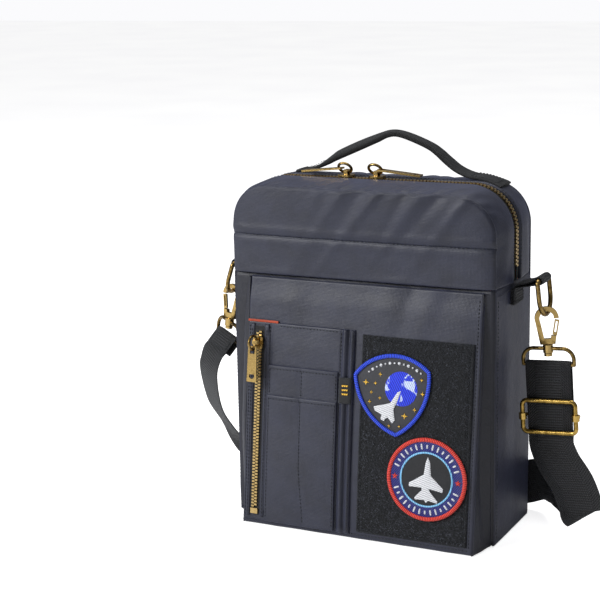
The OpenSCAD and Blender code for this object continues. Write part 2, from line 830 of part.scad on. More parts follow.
coloured(brass) teeth(-1);  // main_zip_teeth_front
mouth_lining();
main_slider(-1);  // main_slider_left
main_slider(1);  // main_slider_right
main_link(-1);  // main_link_left
main_link(1);  // main_link_right
main_pull(-1);  // main_pull_left
main_pull(1);  // main_pull_right
pocket_slider();
pocket_link();
pocket_pull();
patch_shield();
patch_shield_border();
patch_round();
patch_round_border();
handle_grip();
ring(-1);  // ring_left
ring(1);  // ring_right
hook(-1);  // hook_left
hook(1);  // hook_right
gate(-1);  // gate_left
gate(1);  // gate_right
eye(-1);  // eye_left
eye(1);  // eye_right
strap_end(-1);  // strap_end_left
strap_end(1);  // strap_end_right
adjuster_frame();
adjuster_bar();
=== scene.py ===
import math

import bpy
import numpy as np
from mathutils import Matrix, Vector


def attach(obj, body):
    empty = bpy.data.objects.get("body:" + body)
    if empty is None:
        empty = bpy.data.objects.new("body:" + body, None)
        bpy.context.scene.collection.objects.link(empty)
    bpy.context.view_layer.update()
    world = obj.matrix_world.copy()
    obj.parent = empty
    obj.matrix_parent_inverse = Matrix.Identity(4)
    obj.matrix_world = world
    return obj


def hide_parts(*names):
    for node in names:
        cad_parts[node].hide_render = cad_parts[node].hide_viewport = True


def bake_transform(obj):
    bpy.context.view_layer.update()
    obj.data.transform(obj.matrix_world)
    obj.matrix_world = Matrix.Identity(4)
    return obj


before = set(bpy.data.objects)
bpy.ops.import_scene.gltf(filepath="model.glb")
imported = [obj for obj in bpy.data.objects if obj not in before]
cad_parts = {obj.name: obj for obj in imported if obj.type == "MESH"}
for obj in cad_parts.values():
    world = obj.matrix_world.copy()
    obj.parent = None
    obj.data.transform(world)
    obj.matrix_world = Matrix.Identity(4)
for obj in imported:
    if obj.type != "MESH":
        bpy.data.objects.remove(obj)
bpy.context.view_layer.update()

MM = 0.001

# ---------- the bag's main sizes, in millimetres ----------

HALF_W, HALF_D, TOP, CORNER = 115.0, 44.0, 284.0, 34.0
BODY_X = -8.0                       # the body's middle
WALL = {-1: 123.0, 1: 107.0}        # its left and right sides
FOLD, BAND_TOP = 210.0, 244.0
ARC_Z, FLAT = TOP - CORNER, HALF_W - CORNER
SLOPE = math.atan(25 / 210)         # lean of the front pocket's face
STRAP_W, STRAP_T = 38.0, 1.6

# ---------- camera ----------

def look_from(az, el, roll, side, height, away, lens):
    """Stands the camera away from a point beside the bag, turned and rolled."""
    back = Vector((math.sin(az) * math.cos(el), -math.cos(az) * math.cos(el), math.sin(el)))
    right = Vector((math.cos(az), math.sin(az), 0))
    up = back.cross(right)
    across = math.cos(roll) * right + math.sin(roll) * up
    over = -math.sin(roll) * right + math.cos(roll) * up
    place = side * right + Vector((0, 0, height)) + away * back
    cam = bpy.data.objects.new("camera", bpy.data.cameras.new("camera"))
    cam.data.sensor_width, cam.data.lens = 36, lens
    cam.data.clip_start, cam.data.clip_end = 0.05, 20
    cam.matrix_world = Matrix((
        (across.x, over.x, back.x, place.x), (across.y, over.y, back.y, place.y),
        (across.z, over.z, back.z, place.z), (0, 0, 0, 1)))
    bpy.context.scene.collection.objects.link(cam)
    bpy.context.scene.camera = cam

look_from(math.radians(26.373), math.radians(12.281), math.radians(-1.109),
          -0.074859, 0.186877, 1.3226, 95.72)

# ---------- materials ----------

def linear(hexa):
    """sRGB hex to linear colour."""
    c = [int(hexa[i:i + 2], 16) / 255 for i in (1, 3, 5)]
    return [*(v / 12.92 if v <= 0.04045 else ((v + 0.055) / 1.055) ** 2.4 for v in c), 1]

def put(tree, kind, ins=(), **settings):
    """Adds a node with its settings, then its input values and links."""
    node = tree.nodes.new("ShaderNode" + kind)
    for key, value in settings.items():
        setattr(node, key, value)
    for key, value in dict(ins).items():
        if isinstance(value, bpy.types.NodeSocket):
            tree.links.new(value, node.inputs[key])
        else:
            node.inputs[key].default_value = value
    return node.outputs

def start(name, **sockets):
    """A material with its shader's constant sockets set; words take _ for a space."""
    mat = bpy.data.materials.new(name)
    mat.use_nodes = True
    tree = mat.node_tree
    shader = tree.nodes["Principled BSDF"]
    for key, value in sockets.items():
        shader.inputs[key.replace("_", " ")].default_value = value
    return mat, tree, shader

def join(tree, shader, **links):
    for key, socket in links.items():
        tree.links.new(socket, shader.inputs[key.replace("_", " ")])

def ramp(tree, fac, stops):
    """Colour ramp between (place, hex) stops."""
    out = put(tree, "ValToRGB", {"Fac": fac})
    elements = out[0].node.color_ramp.elements
    while len(elements) < len(stops):
        elements.new(0.5)
    for element, (place, hexa) in zip(elements, stops):
        element.position = place
        element.color = linear(hexa)
    return out[0]

def surface(tree, shader, colour, wear, rough, height, strength, depth, **under):
    """Joins a surface's colour, its roughness range over wear, and its relief; depth is in millimetres."""
    join(tree, shader, Base_Color=colour,
         Roughness=put(tree, "MapRange", {"Value": wear, "To Min": rough[0], "To Max": rough[1]})[0],
         Normal=put(tree, "Bump", {"Height": height, "Strength": strength, "Distance": depth * MM,
                                   **under})[0])

def bands_at(pitch):
    """Wave Texture scale that gives one band for each pitch, in millimetres."""
    return math.pi / (10 * pitch * MM)

def woven(name, low, high, pitch, rough=0.5, sheen=0.3, tint="#8b90a8", relief=0.35):
    """Plain-woven cloth: crossed threads in relief, soft uneven dye, and a slight lustre."""
    mat, tree, shader = start(name, Sheen_Weight=sheen, Sheen_Roughness=0.45, Sheen_Tint=linear(tint),
                              Specular_IOR_Level=0.4, IOR=1.53)
    place = put(tree, "TexCoord")["UV"]
    warp = put(tree, "TexWave",
               {"Vector": place, "Scale": bands_at(pitch), "Distortion": 0.4, "Detail": 1.0},
               bands_direction="X")["Fac"]
    weft = put(tree, "TexWave",
               {"Vector": place, "Scale": bands_at(pitch), "Distortion": 0.4, "Detail": 1.0},
               bands_direction="Y")["Fac"]
    weave = put(tree, "Math", {0: warp, 1: weft}, operation="MULTIPLY")[0]
    dye = put(tree, "TexNoise",
              {"Vector": place, "Scale": 1 / (30 * MM), "Detail": 4.0, "Roughness": 0.6})["Fac"]
    both = put(tree, "Math", {0: weave, 1: dye, 2: 0.0}, operation="MULTIPLY_ADD")[0]
    tree.links.new(put(tree, "Math", {0: dye, 1: 0.7}, operation="MULTIPLY")[0], both.node.inputs[2])
    crease = put(tree, "TexNoise",
                 {"Vector": place, "Scale": 1 / (11 * MM), "Detail": 4.0, "Roughness": 0.6})["Fac"]
    soft = put(tree, "Bump", {"Height": crease, "Strength": 0.4, "Distance": 1.4 * MM})[0]
    surface(tree, shader, ramp(tree, both, [(0.25, low), (0.75, high)]), dye, (rough - 0.08, rough + 0.1),
            weave, relief, 0.25, Normal=soft)
    return mat

def ribbed(name, low, high, pitch, rough=0.6, relief=0.8, tint="#9aa0a8", sheen=0.35):
    """Webbing or tape: ribs across its length, fine ends along it, with painted shade in the valleys and a
    painted highlight on the rib crowns.
    """
    mat, tree, shader = start(name, Sheen_Weight=sheen, Sheen_Roughness=0.5, Sheen_Tint=linear(tint),
                              Specular_IOR_Level=0.35, IOR=1.49)
    place = put(tree, "TexCoord")["UV"]
    ribs = put(tree, "TexWave",
               {"Vector": place, "Scale": bands_at(pitch), "Distortion": 0.6, "Detail": 2.0},
               bands_direction="Y")["Fac"]
    ends = put(tree, "TexWave", {"Vector": place, "Scale": bands_at(pitch * 0.8), "Distortion": 0.5},
               bands_direction="X")["Fac"]
    weave = put(tree, "Math", {0: ends, 1: 0.4, 2: ribs}, operation="MULTIPLY_ADD")[0]
    wear = put(tree, "TexNoise", {"Vector": place, "Scale": 1 / (18 * MM), "Detail": 5.0})["Fac"]
    # tone: painted shade in the rib valleys and painted highlight on the rib crowns, varied by random wear.
    tone = put(tree, "Math", {0: weave, 1: wear}, operation="MULTIPLY")[0]
    surface(tree, shader, ramp(tree, tone, [(0.1, low), (0.85, high)]), wear, (rough - 0.1, rough + 0.12),
            weave, relief, 0.5)
    return mat

def aged_and_shaded_metal(name, dark, mid, bright, rough):
    """Plated zinc, antiqued: brown patina left in the hollows, deepened by painted shade; edges rubbed bright,
    with a painted highlight; faint casting grain.
    """
    mat, tree, shader = start(name, Metallic=1.0)
    place = put(tree, "TexCoord")["Object"]
    stain = put(tree, "TexNoise",
                {"Vector": place, "Scale": 1 / (4 * MM), "Detail": 6.0, "Roughness": 0.65})["Fac"]
    edge = put(tree, "NewGeometry")["Pointiness"]
    # Pointiness: edges are rubbed bright and given a painted highlight; hollows are darkened by patina and by
    # painted shade.
    rubbed_and_highlit_edges = put(tree, "MapRange",
                 {"Value": edge, "From Min": 0.46, "From Max": 0.56, "To Min": -0.25, "To Max": 0.3})[0]
    patina_wear_and_painted_light = put(tree, "Math", {0: stain, 1: rubbed_and_highlit_edges}, operation="ADD", use_clamp=True)[0]
    grain = put(tree, "TexNoise", {"Vector": place, "Scale": 1 / (0.6 * MM), "Detail": 3.0})["Fac"]
    surface(tree, shader, ramp(tree, patina_wear_and_painted_light, [(0.28, dark), (0.5, mid), (0.75, bright)]), patina_wear_and_painted_light,
            (rough + 0.16, rough - 0.05), grain, 0.12, 0.15)
    return mat

def embroidered(name, low, high, angle=0.0, patches=None, rough=0.42):
    """Satin stitch: glossy threads laid side by side at one angle. patches adds a second colour in clouds."""
    mat, tree, shader = start(name, Sheen_Weight=0.25, Sheen_Roughness=0.3, Specular_IOR_Level=0.45,
                              IOR=1.5)
    place = put(tree, "TexCoord")["UV"]
    turned = put(tree, "Mapping", {"Vector": place, "Rotation": (0, 0, math.radians(angle))})[0]
    threads = put(tree, "TexWave",
                  {"Vector": turned, "Scale": bands_at(1.4), "Distortion": 0.5, "Detail": 1.0},
                  bands_direction="X")["Fac"]
    colour = ramp(tree, threads, [(0.1, low), (0.8, high)])
    if patches:
        cloud = put(tree, "TexNoise",
                    {"Vector": place, "Scale": 1 / (9 * MM), "Detail": 3.0, "Distortion": 0.8})["Fac"]
        mask = put(tree, "MapRange", {"Value": cloud, "From Min": 0.56, "From Max": 0.61})[0]
        colour = put(tree, "Mix", {0: mask, 6: colour, 7: linear(patches)}, data_type="RGBA")[2]
    surface(tree, shader, colour, threads, (rough + 0.15, rough), threads, 0.9, 0.5)
    return mat

def looped_pile(name):
    """Hook-and-loop pile: a mat of tiny nylon loops, black below with painted grey highlights on the crowns.
    """
    mat, tree, shader = start(name, Sheen_Weight=0.35, Sheen_Roughness=0.6, Sheen_Tint=linear("#6b7078"),
                              Specular_IOR_Level=0.3, IOR=1.53)
    place = put(tree, "TexCoord")["UV"]
    loops = put(tree, "TexVoronoi",
                {"Vector": place, "Scale": 1 / (1.3 * MM), "Randomness": 1.0})["Distance"]
    fuzz = put(tree, "TexNoise",
               {"Vector": place, "Scale": 1 / (0.9 * MM), "Detail": 6.0, "Roughness": 0.75})["Fac"]
    tone = put(tree, "Math", {0: fuzz, 1: loops}, operation="SUBTRACT")[0]
    # The ramp's grey top stop is a painted highlight on the loop crowns.
    surface(tree, shader, ramp(tree, tone, [(0.0, "#050608"), (0.2, "#14151b"), (0.45, "#6a6e7c")]), fuzz,
            (0.6, 0.95), tone, 0.9, 0.9)
    return mat

def moulded_board(name):
    """Polyethylene base board: dull, with a pebbled grain."""
    mat, tree, shader = start(name, Specular_IOR_Level=0.4, IOR=1.51)
    place = put(tree, "TexCoord")["Object"]
    grain = put(tree, "TexVoronoi", {"Vector": place, "Scale": 1 / (1.8 * MM)})["Distance"]
    surface(tree, shader, ramp(tree, grain, [(0.0, "#2c2c2f"), (0.6, "#434347")]), grain, (0.5, 0.75),
            grain, 0.3, 0.3)
    return mat

# The real threads are 0.25 mm apart; they are drawn at 1.1 mm, and sewing at 1.4 mm, so that they show.
shell_nylon = woven("shell_nylon", "#1b1d28", "#2b2e3f", 1.1, sheen=0.25, tint="#7f86ad")
# A darker, duller copy of the shell nylon: painted shade for the bottom, the front wall and the pocket's side
# walls and bottom.
shaded_nylon = woven("shaded_nylon", "#14151d", "#20222d", 1.1, sheen=0.15, tint="#7f86ad")
lining_twill = woven("lining_twill", "#b8471d", "#e0662e", 1.0, rough=0.55, tint="#ffb890", relief=0.3)
# Each ribbed colour pair: the high colour is a painted highlight on the rib crowns, the low colour is deepened
# by painted shade in the valleys.
tape_weave = ribbed("tape_weave", "#08080a", "#1b1c20", 1.1, relief=0.5, sheen=0.15)
strap_weave = ribbed("strap_weave", "#060607", "#2a2b2f", 2.2, relief=1.0, sheen=0.15)
handle_weave = ribbed("handle_weave", "#050506", "#1a1b1e", 1.4, sheen=0.12)
orange_tape = ribbed("orange_tape", "#8f351f", "#cf5a3a", 1.0, relief=0.5, sheen=0.1)
label_weave = ribbed("label_weave", "#0d0e10", "#26272b", 0.8, relief=0.4)
sewing_thread = ribbed("sewing_thread", "#0b0c10", "#24262e", 0.7, rough=0.5)
loop_pile = looped_pile("loop_pile")
base_plastic = moulded_board("base_plastic")
# Each metal's dark stop is patina deepened by painted shade, and its bright stop is rubbed edges with a
# painted highlight.
antique_brass = aged_and_shaded_metal("antique_brass", "#3a2e18", "#796338", "#b79b61", 0.27)
zip_brass = aged_and_shaded_metal("zip_brass", "#4a3b20", "#8f7547", "#c6aa72", 0.3)
bright_brass = aged_and_shaded_metal("bright_brass", "#554220", "#967a3c", "#c4a45c", 0.24)
blue_edging = embroidered("blue_edging", "#0a1f86", "#2f55f0")
red_edging = embroidered("red_edging", "#8f140f", "#ee4a3c")
badge_twill = woven("badge_twill", "#25262a", "#3b3c42", 0.8, rough=0.65, sheen=0.15, relief=0.6)
badge_black = woven("badge_black", "#0f1013", "#1d1f24", 0.8, rough=0.65, sheen=0.15, relief=0.6)
navy_thread = embroidered("navy_thread", "#0d1248", "#272e86", 40)
sky_thread = embroidered("sky_thread", "#4a9fd4", "#a5dcff")
white_thread = embroidered("white_thread", "#b2b5bc", "#e8e9ec", 65)
globe_thread = embroidered("globe_thread", "#0c1fa0", "#2c46f5", 20, patches="#c4d2f2")
gold_thread = embroidered("gold_thread", "#b07a10", "#ffd24a", 30)
red_thread = embroidered("red_thread", "#8f140f", "#e23f30", 50)

# ---------- mesh helpers ----------

def smooth(t):
    t = np.clip(t, 0, 1)
    return t * t * (3 - 2 * t)

def hump(x, centre, width):
    return np.exp(-((x - centre) / width) ** 2)

def roll(d, r):
    """How far a turned edge has rolled back at distance d from it."""
    k = np.clip(1 - d / r, 0, 1)
    return r * (1 - np.sqrt(1 - k * k))

def lengths(points, axis):
    step = np.linalg.norm(np.diff(points, axis=axis), axis=2)
    pad = [(0, 0), (0, 0)]
    pad[axis] = (1, 0)
    return np.pad(np.cumsum(step, axis=axis), pad)

def sheet_mesh(name, grids):
    """One mesh of quads from grids of points in mm; a grid is (rows, wrapped) or (rows, wrapped, uv in mm)."""
    points, faces, coords, first = [], [], [], 0
    for grid in grids:
        rows, wrapped = np.asarray(grid[0], float), grid[1]
        n, m = rows.shape[:2]
        shown = np.concatenate([rows, rows[:, :1]], 1) if wrapped else rows
        uv = grid[2] if len(grid) > 2 else np.stack([lengths(shown, 1), lengths(shown, 0)], 2)
        index = first + np.arange(n * m).reshape(n, m)
        index = np.concatenate([index, index[:, :1]], 1) if wrapped else index
        corner = lambda a: np.stack([a[:-1, :-1], a[:-1, 1:], a[1:, 1:], a[1:, :-1]], 2)
        faces.append(corner(index).reshape(-1, 4))
        coords.append(corner(uv).reshape(-1, 2))
        points.append(rows.reshape(-1, 3))
        first += n * m
    mesh = bpy.data.meshes.new(name)
    mesh.from_pydata((np.vstack(points) * MM).tolist(), [], np.vstack(faces).tolist())
    mesh.uv_layers.new(name="UVMap").data.foreach_set("uv",
                                                      (np.vstack(coords) * MM).ravel().astype(np.float32))
    mesh.polygons.foreach_set("use_smooth", [True] * len(mesh.polygons))
    mesh.validate()
    return mesh

def sheet(x, y, z):
    """One open grid of points, as piece takes it."""
    return [(np.stack([x, y, z], 2), False)]

def piece(name, grids, material, body=None, bend=None, stands_for=(), slot=None, thick=0.0, face=None):
    """Makes a mesh piece; thick gives cloth its thickness behind the face, which looks along face."""
    mesh = sheet_mesh(name, grids)
    obj = bpy.data.objects.new(name, mesh)
    bpy.context.scene.collection.objects.link(obj)
    mesh.materials.append(material)
    if face is not None:
        total = sum((p.normal * p.area for p in mesh.polygons), Vector())
        if total.dot(Vector(face)) < 0:
            mesh.flip_normals()
    if thick:
        solid = obj.modifiers.new("cloth thickness", "SOLIDIFY")
        solid.thickness, solid.offset = thick * MM, -1
    if bend:
        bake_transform(obj)
    elif body:
        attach(obj, body)
    if stands_for:
        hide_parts(*stands_for)
    return obj

def spline(points, steps):
    """Smooth curve through the points, with the end points kept."""
    p = np.asarray(points, float)
    q = np.concatenate([p[:1], p, p[-1:]])
    out = []
    for i in range(len(p) - 1):
        a, b, c, d = q[i:i + 4]
        for t in np.arange(steps) / steps:
            out.append(0.5 * (2 * b + (c - a) * t + (2 * a - 5 * b + 4 * c - d) * t * t
                              + (3 * b - a - 3 * c + d) * t ** 3))
    return np.array(out + [p[-1]])

def sweep(line, across, half_w, half_t, sides=22, edge=0.3):
    """Rows of a flat rounded section carried along a line; its ends are closed."""
    line, across = np.asarray(line, float), np.asarray(across, float)
    along = np.gradient(line, axis=0)
    along /= np.linalg.norm(along, axis=1)[:, None]
    wide = across - (across * along).sum(1)[:, None] * along
    wide /= np.linalg.norm(wide, axis=1)[:, None]
    up = np.cross(along, wide)
    a = 2 * np.pi * np.arange(sides) / sides
    ca, sa = np.cos(a), np.sin(a)
    w = np.sign(ca) * np.abs(ca) ** edge * np.asarray(half_w, float).reshape(-1, 1)
    h = np.sign(sa) * np.abs(sa) ** 0.7 * np.asarray(half_t, float).reshape(-1, 1)
    rows = line[:, None] + wide[:, None] * w[..., None] + up[:, None] * h[..., None]
    ends = [np.repeat(line[k][None, None], sides, 1) for k in (0, -1)]
    return np.concatenate([ends[0], rows, ends[1]])

seams = {}

def stitch(key, line, face, pitch=3.0, length=2.1):
    """Notes a row of stitches along a line, on the side that face looks to; made into meshes at the end."""
    line = np.asarray(line, float)
    face = np.broadcast_to(np.asarray(face, float), line.shape)
    run = np.concatenate([[0], np.cumsum(np.linalg.norm(np.diff(line, axis=0), axis=1))])
    at = np.arange(pitch / 2, run[-1] - length / 2, pitch)
    pick = lambda s: np.stack([np.interp(s, run, line[:, k]) for k in range(3)], 1)
    up = np.stack([np.interp(at, run, face[:, k]) for k in range(3)], 1)
    up /= np.linalg.norm(up, axis=1)[:, None]
    seams.setdefault(key, []).append((pick(at - length / 2), pick(at + length / 2), up))

STITCH_R, STITCH_LIFT = 0.34, 0.15      # thickness and stand-off of a stitch

def stitch_grids(rows):
    """Small bowed capsules from noted stitches, as one wrapped grid each."""
    made = []
    for a, b, up in rows:
        for p, q, n in zip(a, b, up):
            t = (q - p) / np.linalg.norm(q - p)
            s = np.cross(t, n)
            ring = []
            for k, r, h in ((0.0, 0.1, -0.25), (0.18, 0.8, 0.0), (0.5, 1.0, 0.12), (0.82, 0.8, 0.0),
                            (1.0, 0.1, -0.25)):
                c = p + (q - p) * k + n * (STITCH_LIFT + h)
                ring.append([c + STITCH_R * r * (math.cos(w) * s + math.sin(w) * n) for w in np.arange(6)
                             * math.pi / 3])
            made.append((ring, True))
    return made

# ---------- the strap -------------------------------------------

STRAP = [
    ((140.4, -2.55, 83.7), (18.7, 0, 1.1)), ((141.3, -2.5, 76.5), (18.6, 0, 1.6)),
    ((147, -1.3, 63), (18, 0.3, 4.4)), ((157.4, 0.9, 46.4), (17.4, 0.3, 7.2)),
    ((163.6, 3, 29), (16.6, 0, 9.4)), ((165.8, 4, 20.6), (16, 0, 10.6)),
    ((167.2, 7, 18.6), (15.6, 0, 11.4)), ((163.8, 10, 22.4), (15, 0, 12)),
    ((153.4, 14, 31.6), (12.5, -1, 14.5)), ((140, 23, 35), (8, -3, 17)), ((127, 36, 33), (5, -6, 17)),
    ((113, 48, 29), (3, -6, 17.5)), ((96, 54, 22), (0, -2, 18.6)), ((72, 56, 20), (0, 0, 19)),
    ((30, 55, 20), (0, 0, 19)), ((-20, 54, 20), (0, 0, 19)), ((-70, 55, 20), (0, 0, 19)),
    ((-88, 57, 20), (0, 0, 19)), ((-95, 64, 20), (0, 0, 19)), ((-88, 71, 20), (0, 0, 19)),
    ((-60, 74, 20), (0, 0, 19)), ((0, 70, 20), (0, 0, 19)), ((60, 73, 20), (0, 0, 19)),
    ((84, 75, 20), (0, 0, 19)), ((92, 82, 20), (0, 0, 19)), ((84, 89, 20), (0, 0, 19)),
    ((40, 91, 20), (0, 0, 19)), ((-20, 88, 20), (0, 0, 19)), ((-76, 89, 20), (0, 0, 19)),
    ((-115, 81, 20.5), (1, 0, 18.8)), ((-138, 64, 22.5), (4, -2, 18.2)), ((-152, 47, 27), (9, -5, 15.5)),
    ((-162.5, 33, 37), (12, -12, 7)), ((-168.5, 21, 53), (11.5, -13.8, 4)),
    ((-171.6, 6, 73), (12.5, -13, 3)),
    ((-170.6, -6, 95), (13.8, -12.3, 1.5)), ((-167.6, -13.2, 114), (14.8, -11.3, 0)),
    ((-164.6, -11.2, 126.9), (15, -11, -1.8)), ((-162.33, -8.74, 131.3), (15, -11, -2.1)),
]
STEPS = 6
strap_line = spline([r[0] for r in STRAP], STEPS)
strap_wide = spline([r[1] for r in STRAP], STEPS)

def strap_part(name, first, last, before=(), after=(), **how):
    """A length of the strap between two rings; before and after add a hidden lap under a sewn end."""
    a, b = first * STEPS, last * STEPS + 1
    line = np.array([*before, *strap_line[a:b], *after])
    wide = np.array([strap_wide[a]] * len(before) + [*strap_wide[a:b]] + [strap_wide[b - 1]] * len(after))
    return piece(name, [(sweep(line, wide, STRAP_W / 2 - 0.3, STRAP_T / 2), True)], strap_weave,
                 slot="black_webbing", **how), line

right_turn, left_turn = 6, 33
strap_run, run_line = strap_part("strap_run", right_turn, left_turn, body="bag",
                                 stands_for=["strap_webbing"])
strap_drop, _ = strap_part("strap_drop", 0, right_turn, before=[(140.1, -1.6, 88.2), (140.2, -1.6, 85.8)],
                           bend=("hanger_right", "bag", STRAP[0][0], STRAP[right_turn][0]))
strap_rise, _ = strap_part("strap_rise", left_turn, len(STRAP) - 1,
                           after=[(-161.1, -7.2, 132.6), (-160.0, -6.1, 134.5)],
                           bend=("bag", "hanger_left", STRAP[left_turn][0], STRAP[-1][0]))

# ---------- shell ----------

rng = np.random.default_rng(11)

def rim(z0, count):
    """Points (x, z) round the arch from z0 on the left to z0 on the right, and their outward directions."""
    side, arc, over = ARC_Z - z0, CORNER * math.pi / 2, 2 * FLAT
    s = np.linspace(0, 2 * (side + arc) + over, count)
    turn = np.clip((s - side) / CORNER, 0, math.pi / 2) + np.clip((s - side - arc - over) / CORNER, 0,
          math.pi / 2)
    nx, nz = -np.cos(turn), np.sin(turn)
    x = BODY_X - FLAT + np.clip(s - side - arc, 0, over) + CORNER * nx
    z = ARC_Z + CORNER * nz - np.clip(side - s, 0, None) - np.clip(s - side - 2 * arc - over, 0, None)
    return s, x, z, nx, nz

def edge_distance(x, z):
    """Distance in from the outline of the front, ignoring its foot."""
    reach = np.abs(x - BODY_X)
    d = np.minimum(HALF_W - reach, TOP - z)
    inside = (reach > FLAT) & (z > ARC_Z)
    return np.where(inside, CORNER - np.hypot(reach - FLAT, z - ARC_Z), d)

# Folds that run down from the top seam, drawn together by its stitching.
pucker_x = np.array([-62, -38, -18, 2, 16, 33, 52, 68, 84]) + rng.uniform(-4, 4, 9)
pucker_k = np.array([0.25, 0.5, 0.75, 0.7, 0.85, 0.6, 0.75, 0.9, 0.8])
pucker_a = np.array([0.7, 1.1, 2.2, -1.7, 2.6, -1.5, 1.9, -2.0, 2.2])
pucker_w = rng.uniform(4.0, 6.5, 9)
pucker_l = np.array([14, 20, 30, 28, 34, 24, 28, 30, 32])

def upper_front(x, z):
    """How far the front above the fold line stands out from y = 0."""
    t = smooth((z - FOLD) / (TOP - FOLD))
    u = np.clip(np.abs((x - BODY_X) / HALF_W), 0, 1)
    out = HALF_D + 3.8 * (1 - u ** 16) * (1 - 0.4 * t) + 7 * t * (1 - u ** 2.4)
    for x0, k, a, w, l in zip(pucker_x, pucker_k, pucker_a, pucker_w, pucker_l):
        out = out + a * hump(x, x0 - k * (TOP - z), w) * np.exp(-(TOP - z) / l) * smooth((TOP - z) / 3)
    out = out + 0.5 * hump(x, -60, 30) * np.sin((z - FOLD) / 11) + 0.4 * hump(x, 70,
          35) * np.sin((z + x * 0.4) / 9)
    out = out + 0.7 * hump(z, BAND_TOP + 4, 2.6) + 0.4 * hump(z, BAND_TOP - 7, 3)
    out = out - 1.5 * hump(z, BAND_TOP - 1.3, 1.5)        # drawn in along the stitched line
    return out

def face_rows(z0, z1, inset=0.0, rows=30, columns=120, dense_top=True):
    t = np.linspace(0, 1, rows)
    z = z0 + (z1 - z0) * (np.sin(t * math.pi / 2) if dense_top else t)
    r = CORNER - inset
    reach = np.where(z < ARC_Z, HALF_W - inset, FLAT + np.sqrt(np.clip(r * r - (z - ARC_Z) ** 2, 0, None)))
    u = np.sin(np.linspace(-math.pi / 2, math.pi / 2, columns))
    return BODY_X + u[None] * reach[:, None], np.repeat(z[:, None], columns, 1)

opening = ("bag", "mouth", (0, -HALF_D, FOLD - 4), (0, -HALF_D, FOLD + 30))

x, z = face_rows(BAND_TOP - 1.6, TOP, rows=44)
y = -(upper_front(x, z) - roll(edge_distance(x, z), 2.6)) - 0.5 * hump(z, BAND_TOP - 1.6, 1.2)
piece("top_panel", sheet(x, y, z), shell_nylon, bend=opening, slot="black_nylon",
      stands_for=["top_front_panel"], thick=1.4, face=(0, -1, 0))
line = np.linspace(-120.5, 104.5, 300)
stitch("opening", np.stack([line, -upper_front(line, 242.6 + 0 * line) - 0.35,
                            242.6 + 0.25 * np.sin(line / 7)], 1), (0, -1, 0),
       pitch=3.4, length=2.5)

x, z = face_rows(FOLD + 0.2, BAND_TOP, rows=30, dense_top=False)
y = -(upper_front(x, z) - roll(edge_distance(x, z), 2.6) - roll(z - FOLD,
      1.3) - 0.5 * smooth((z - 241) / 2))
y = y - 0.5 * hump(z, FOLD + 3, 3) * np.sin(x / 17)
piece("front_band", sheet(x, y, z), shell_nylon, bend=opening, slot="black_nylon",
      stands_for=["front_band"], thick=1.4, face=(0, -1, 0))

# Gathers along the gusset's front seam.
gather_s = np.cumsum(rng.uniform(10, 17, 24))
gather_a = rng.uniform(0.9, 2.0, 24) * np.where(rng.random(24) < 0.25, -0.6, 1)

def gusset_rows(side, z0):
    """Half of the crowned top gusset; side is -1 for the front half."""
    s, x, z, nx, nz = rim(z0, 230)
    seam = upper_front(x, z) - 1.6 if side < 0 else HALF_D + 1.4 * np.sin(np.clip((z - 200) / 84, 0,
          1) * math.pi / 2) - 1.2
    v = np.linspace(0, 1, 18) ** 1.3
    y = side * (seam[:, None] * (1 - v) + 6.8 * v)
    out = -1.2 + 4.2 * (1 - (1 - v) ** 2.0) + 0 * s[:, None]
    over = smooth((s - 40) / 40) * smooth((s[-1] - 30 - s) / 50)
    d = v * 38
    for s0, a in zip(gather_s + 20, gather_a):
        width = 3.4 + 0.10 * d
        out = out + over[:, None] * a * hump(s[:, None], s0 + side * -0.35 * d, width) * hump(d, 9,
              11) * smooth(d / 3)
    out = out + 0.7 * np.sin(s[:, None] / 13 + d / 9) * hump(d, 20, 10) * (1 - over[:, None])
    out = out - 1.2 * (d > 37.9)
    rows = np.stack([x[:, None] + nx[:, None] * out, y, z[:, None] + nz[:, None] * out], 2)
    return rows

for side, name, node, how in ((-1, "gusset_front", "front_gusset", {"bend": opening}),
                              (1, "gusset_rear", "rear_gusset", {"body": "bag"})):
    piece(name, [(gusset_rows(side, FOLD + 0.3), False)], shell_nylon, slot="black_nylon",
          stands_for=[node],
          thick=1.0, face=(0, side, 0.2), **how)

def tape_rows(side, z0):
    s, x, z, nx, nz = rim(z0, 230)
    v = np.linspace(0, 1, 8)
    y = side * (1.7 + 7.5 * v)
    out = 1.25 + 0.35 * hump(v, 0.03, 0.08) - 0.1 * v
    return np.stack([x[:, None] + nx[:, None] * out, y + 0 * x[:, None], z[:, None] + nz[:, None] * out], 2)

for side, name, node, how in ((-1, "zip_tape_front", "main_zip_tape_front", {"bend": opening}),
                              (1, "zip_tape_rear", "main_zip_tape_rear", {"body": "bag"})):
    piece(name, [(tape_rows(side, FOLD + 0.4), False)], tape_weave, slot="black_webbing", stands_for=[node],
          thick=0.7, face=(0, 0, 1), **how)
for side, key in ((-1, "opening"), (1, "bag")):
    s, x, z, nx, nz = rim(FOLD + 8, 400)
    stitch(key, np.stack([x + nx * 2.75, side * 9.2 + 0 * x, z + nz * 2.75], 1),
           np.stack([nx, 0 * nx, nz], 1), pitch=3.2)

teeth = bpy.data.objects.new("teeth_front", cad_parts["main_zip_teeth_front"].data.copy())
bpy.context.scene.collection.objects.link(teeth)
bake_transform(teeth)
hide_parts("main_zip_teeth_front")

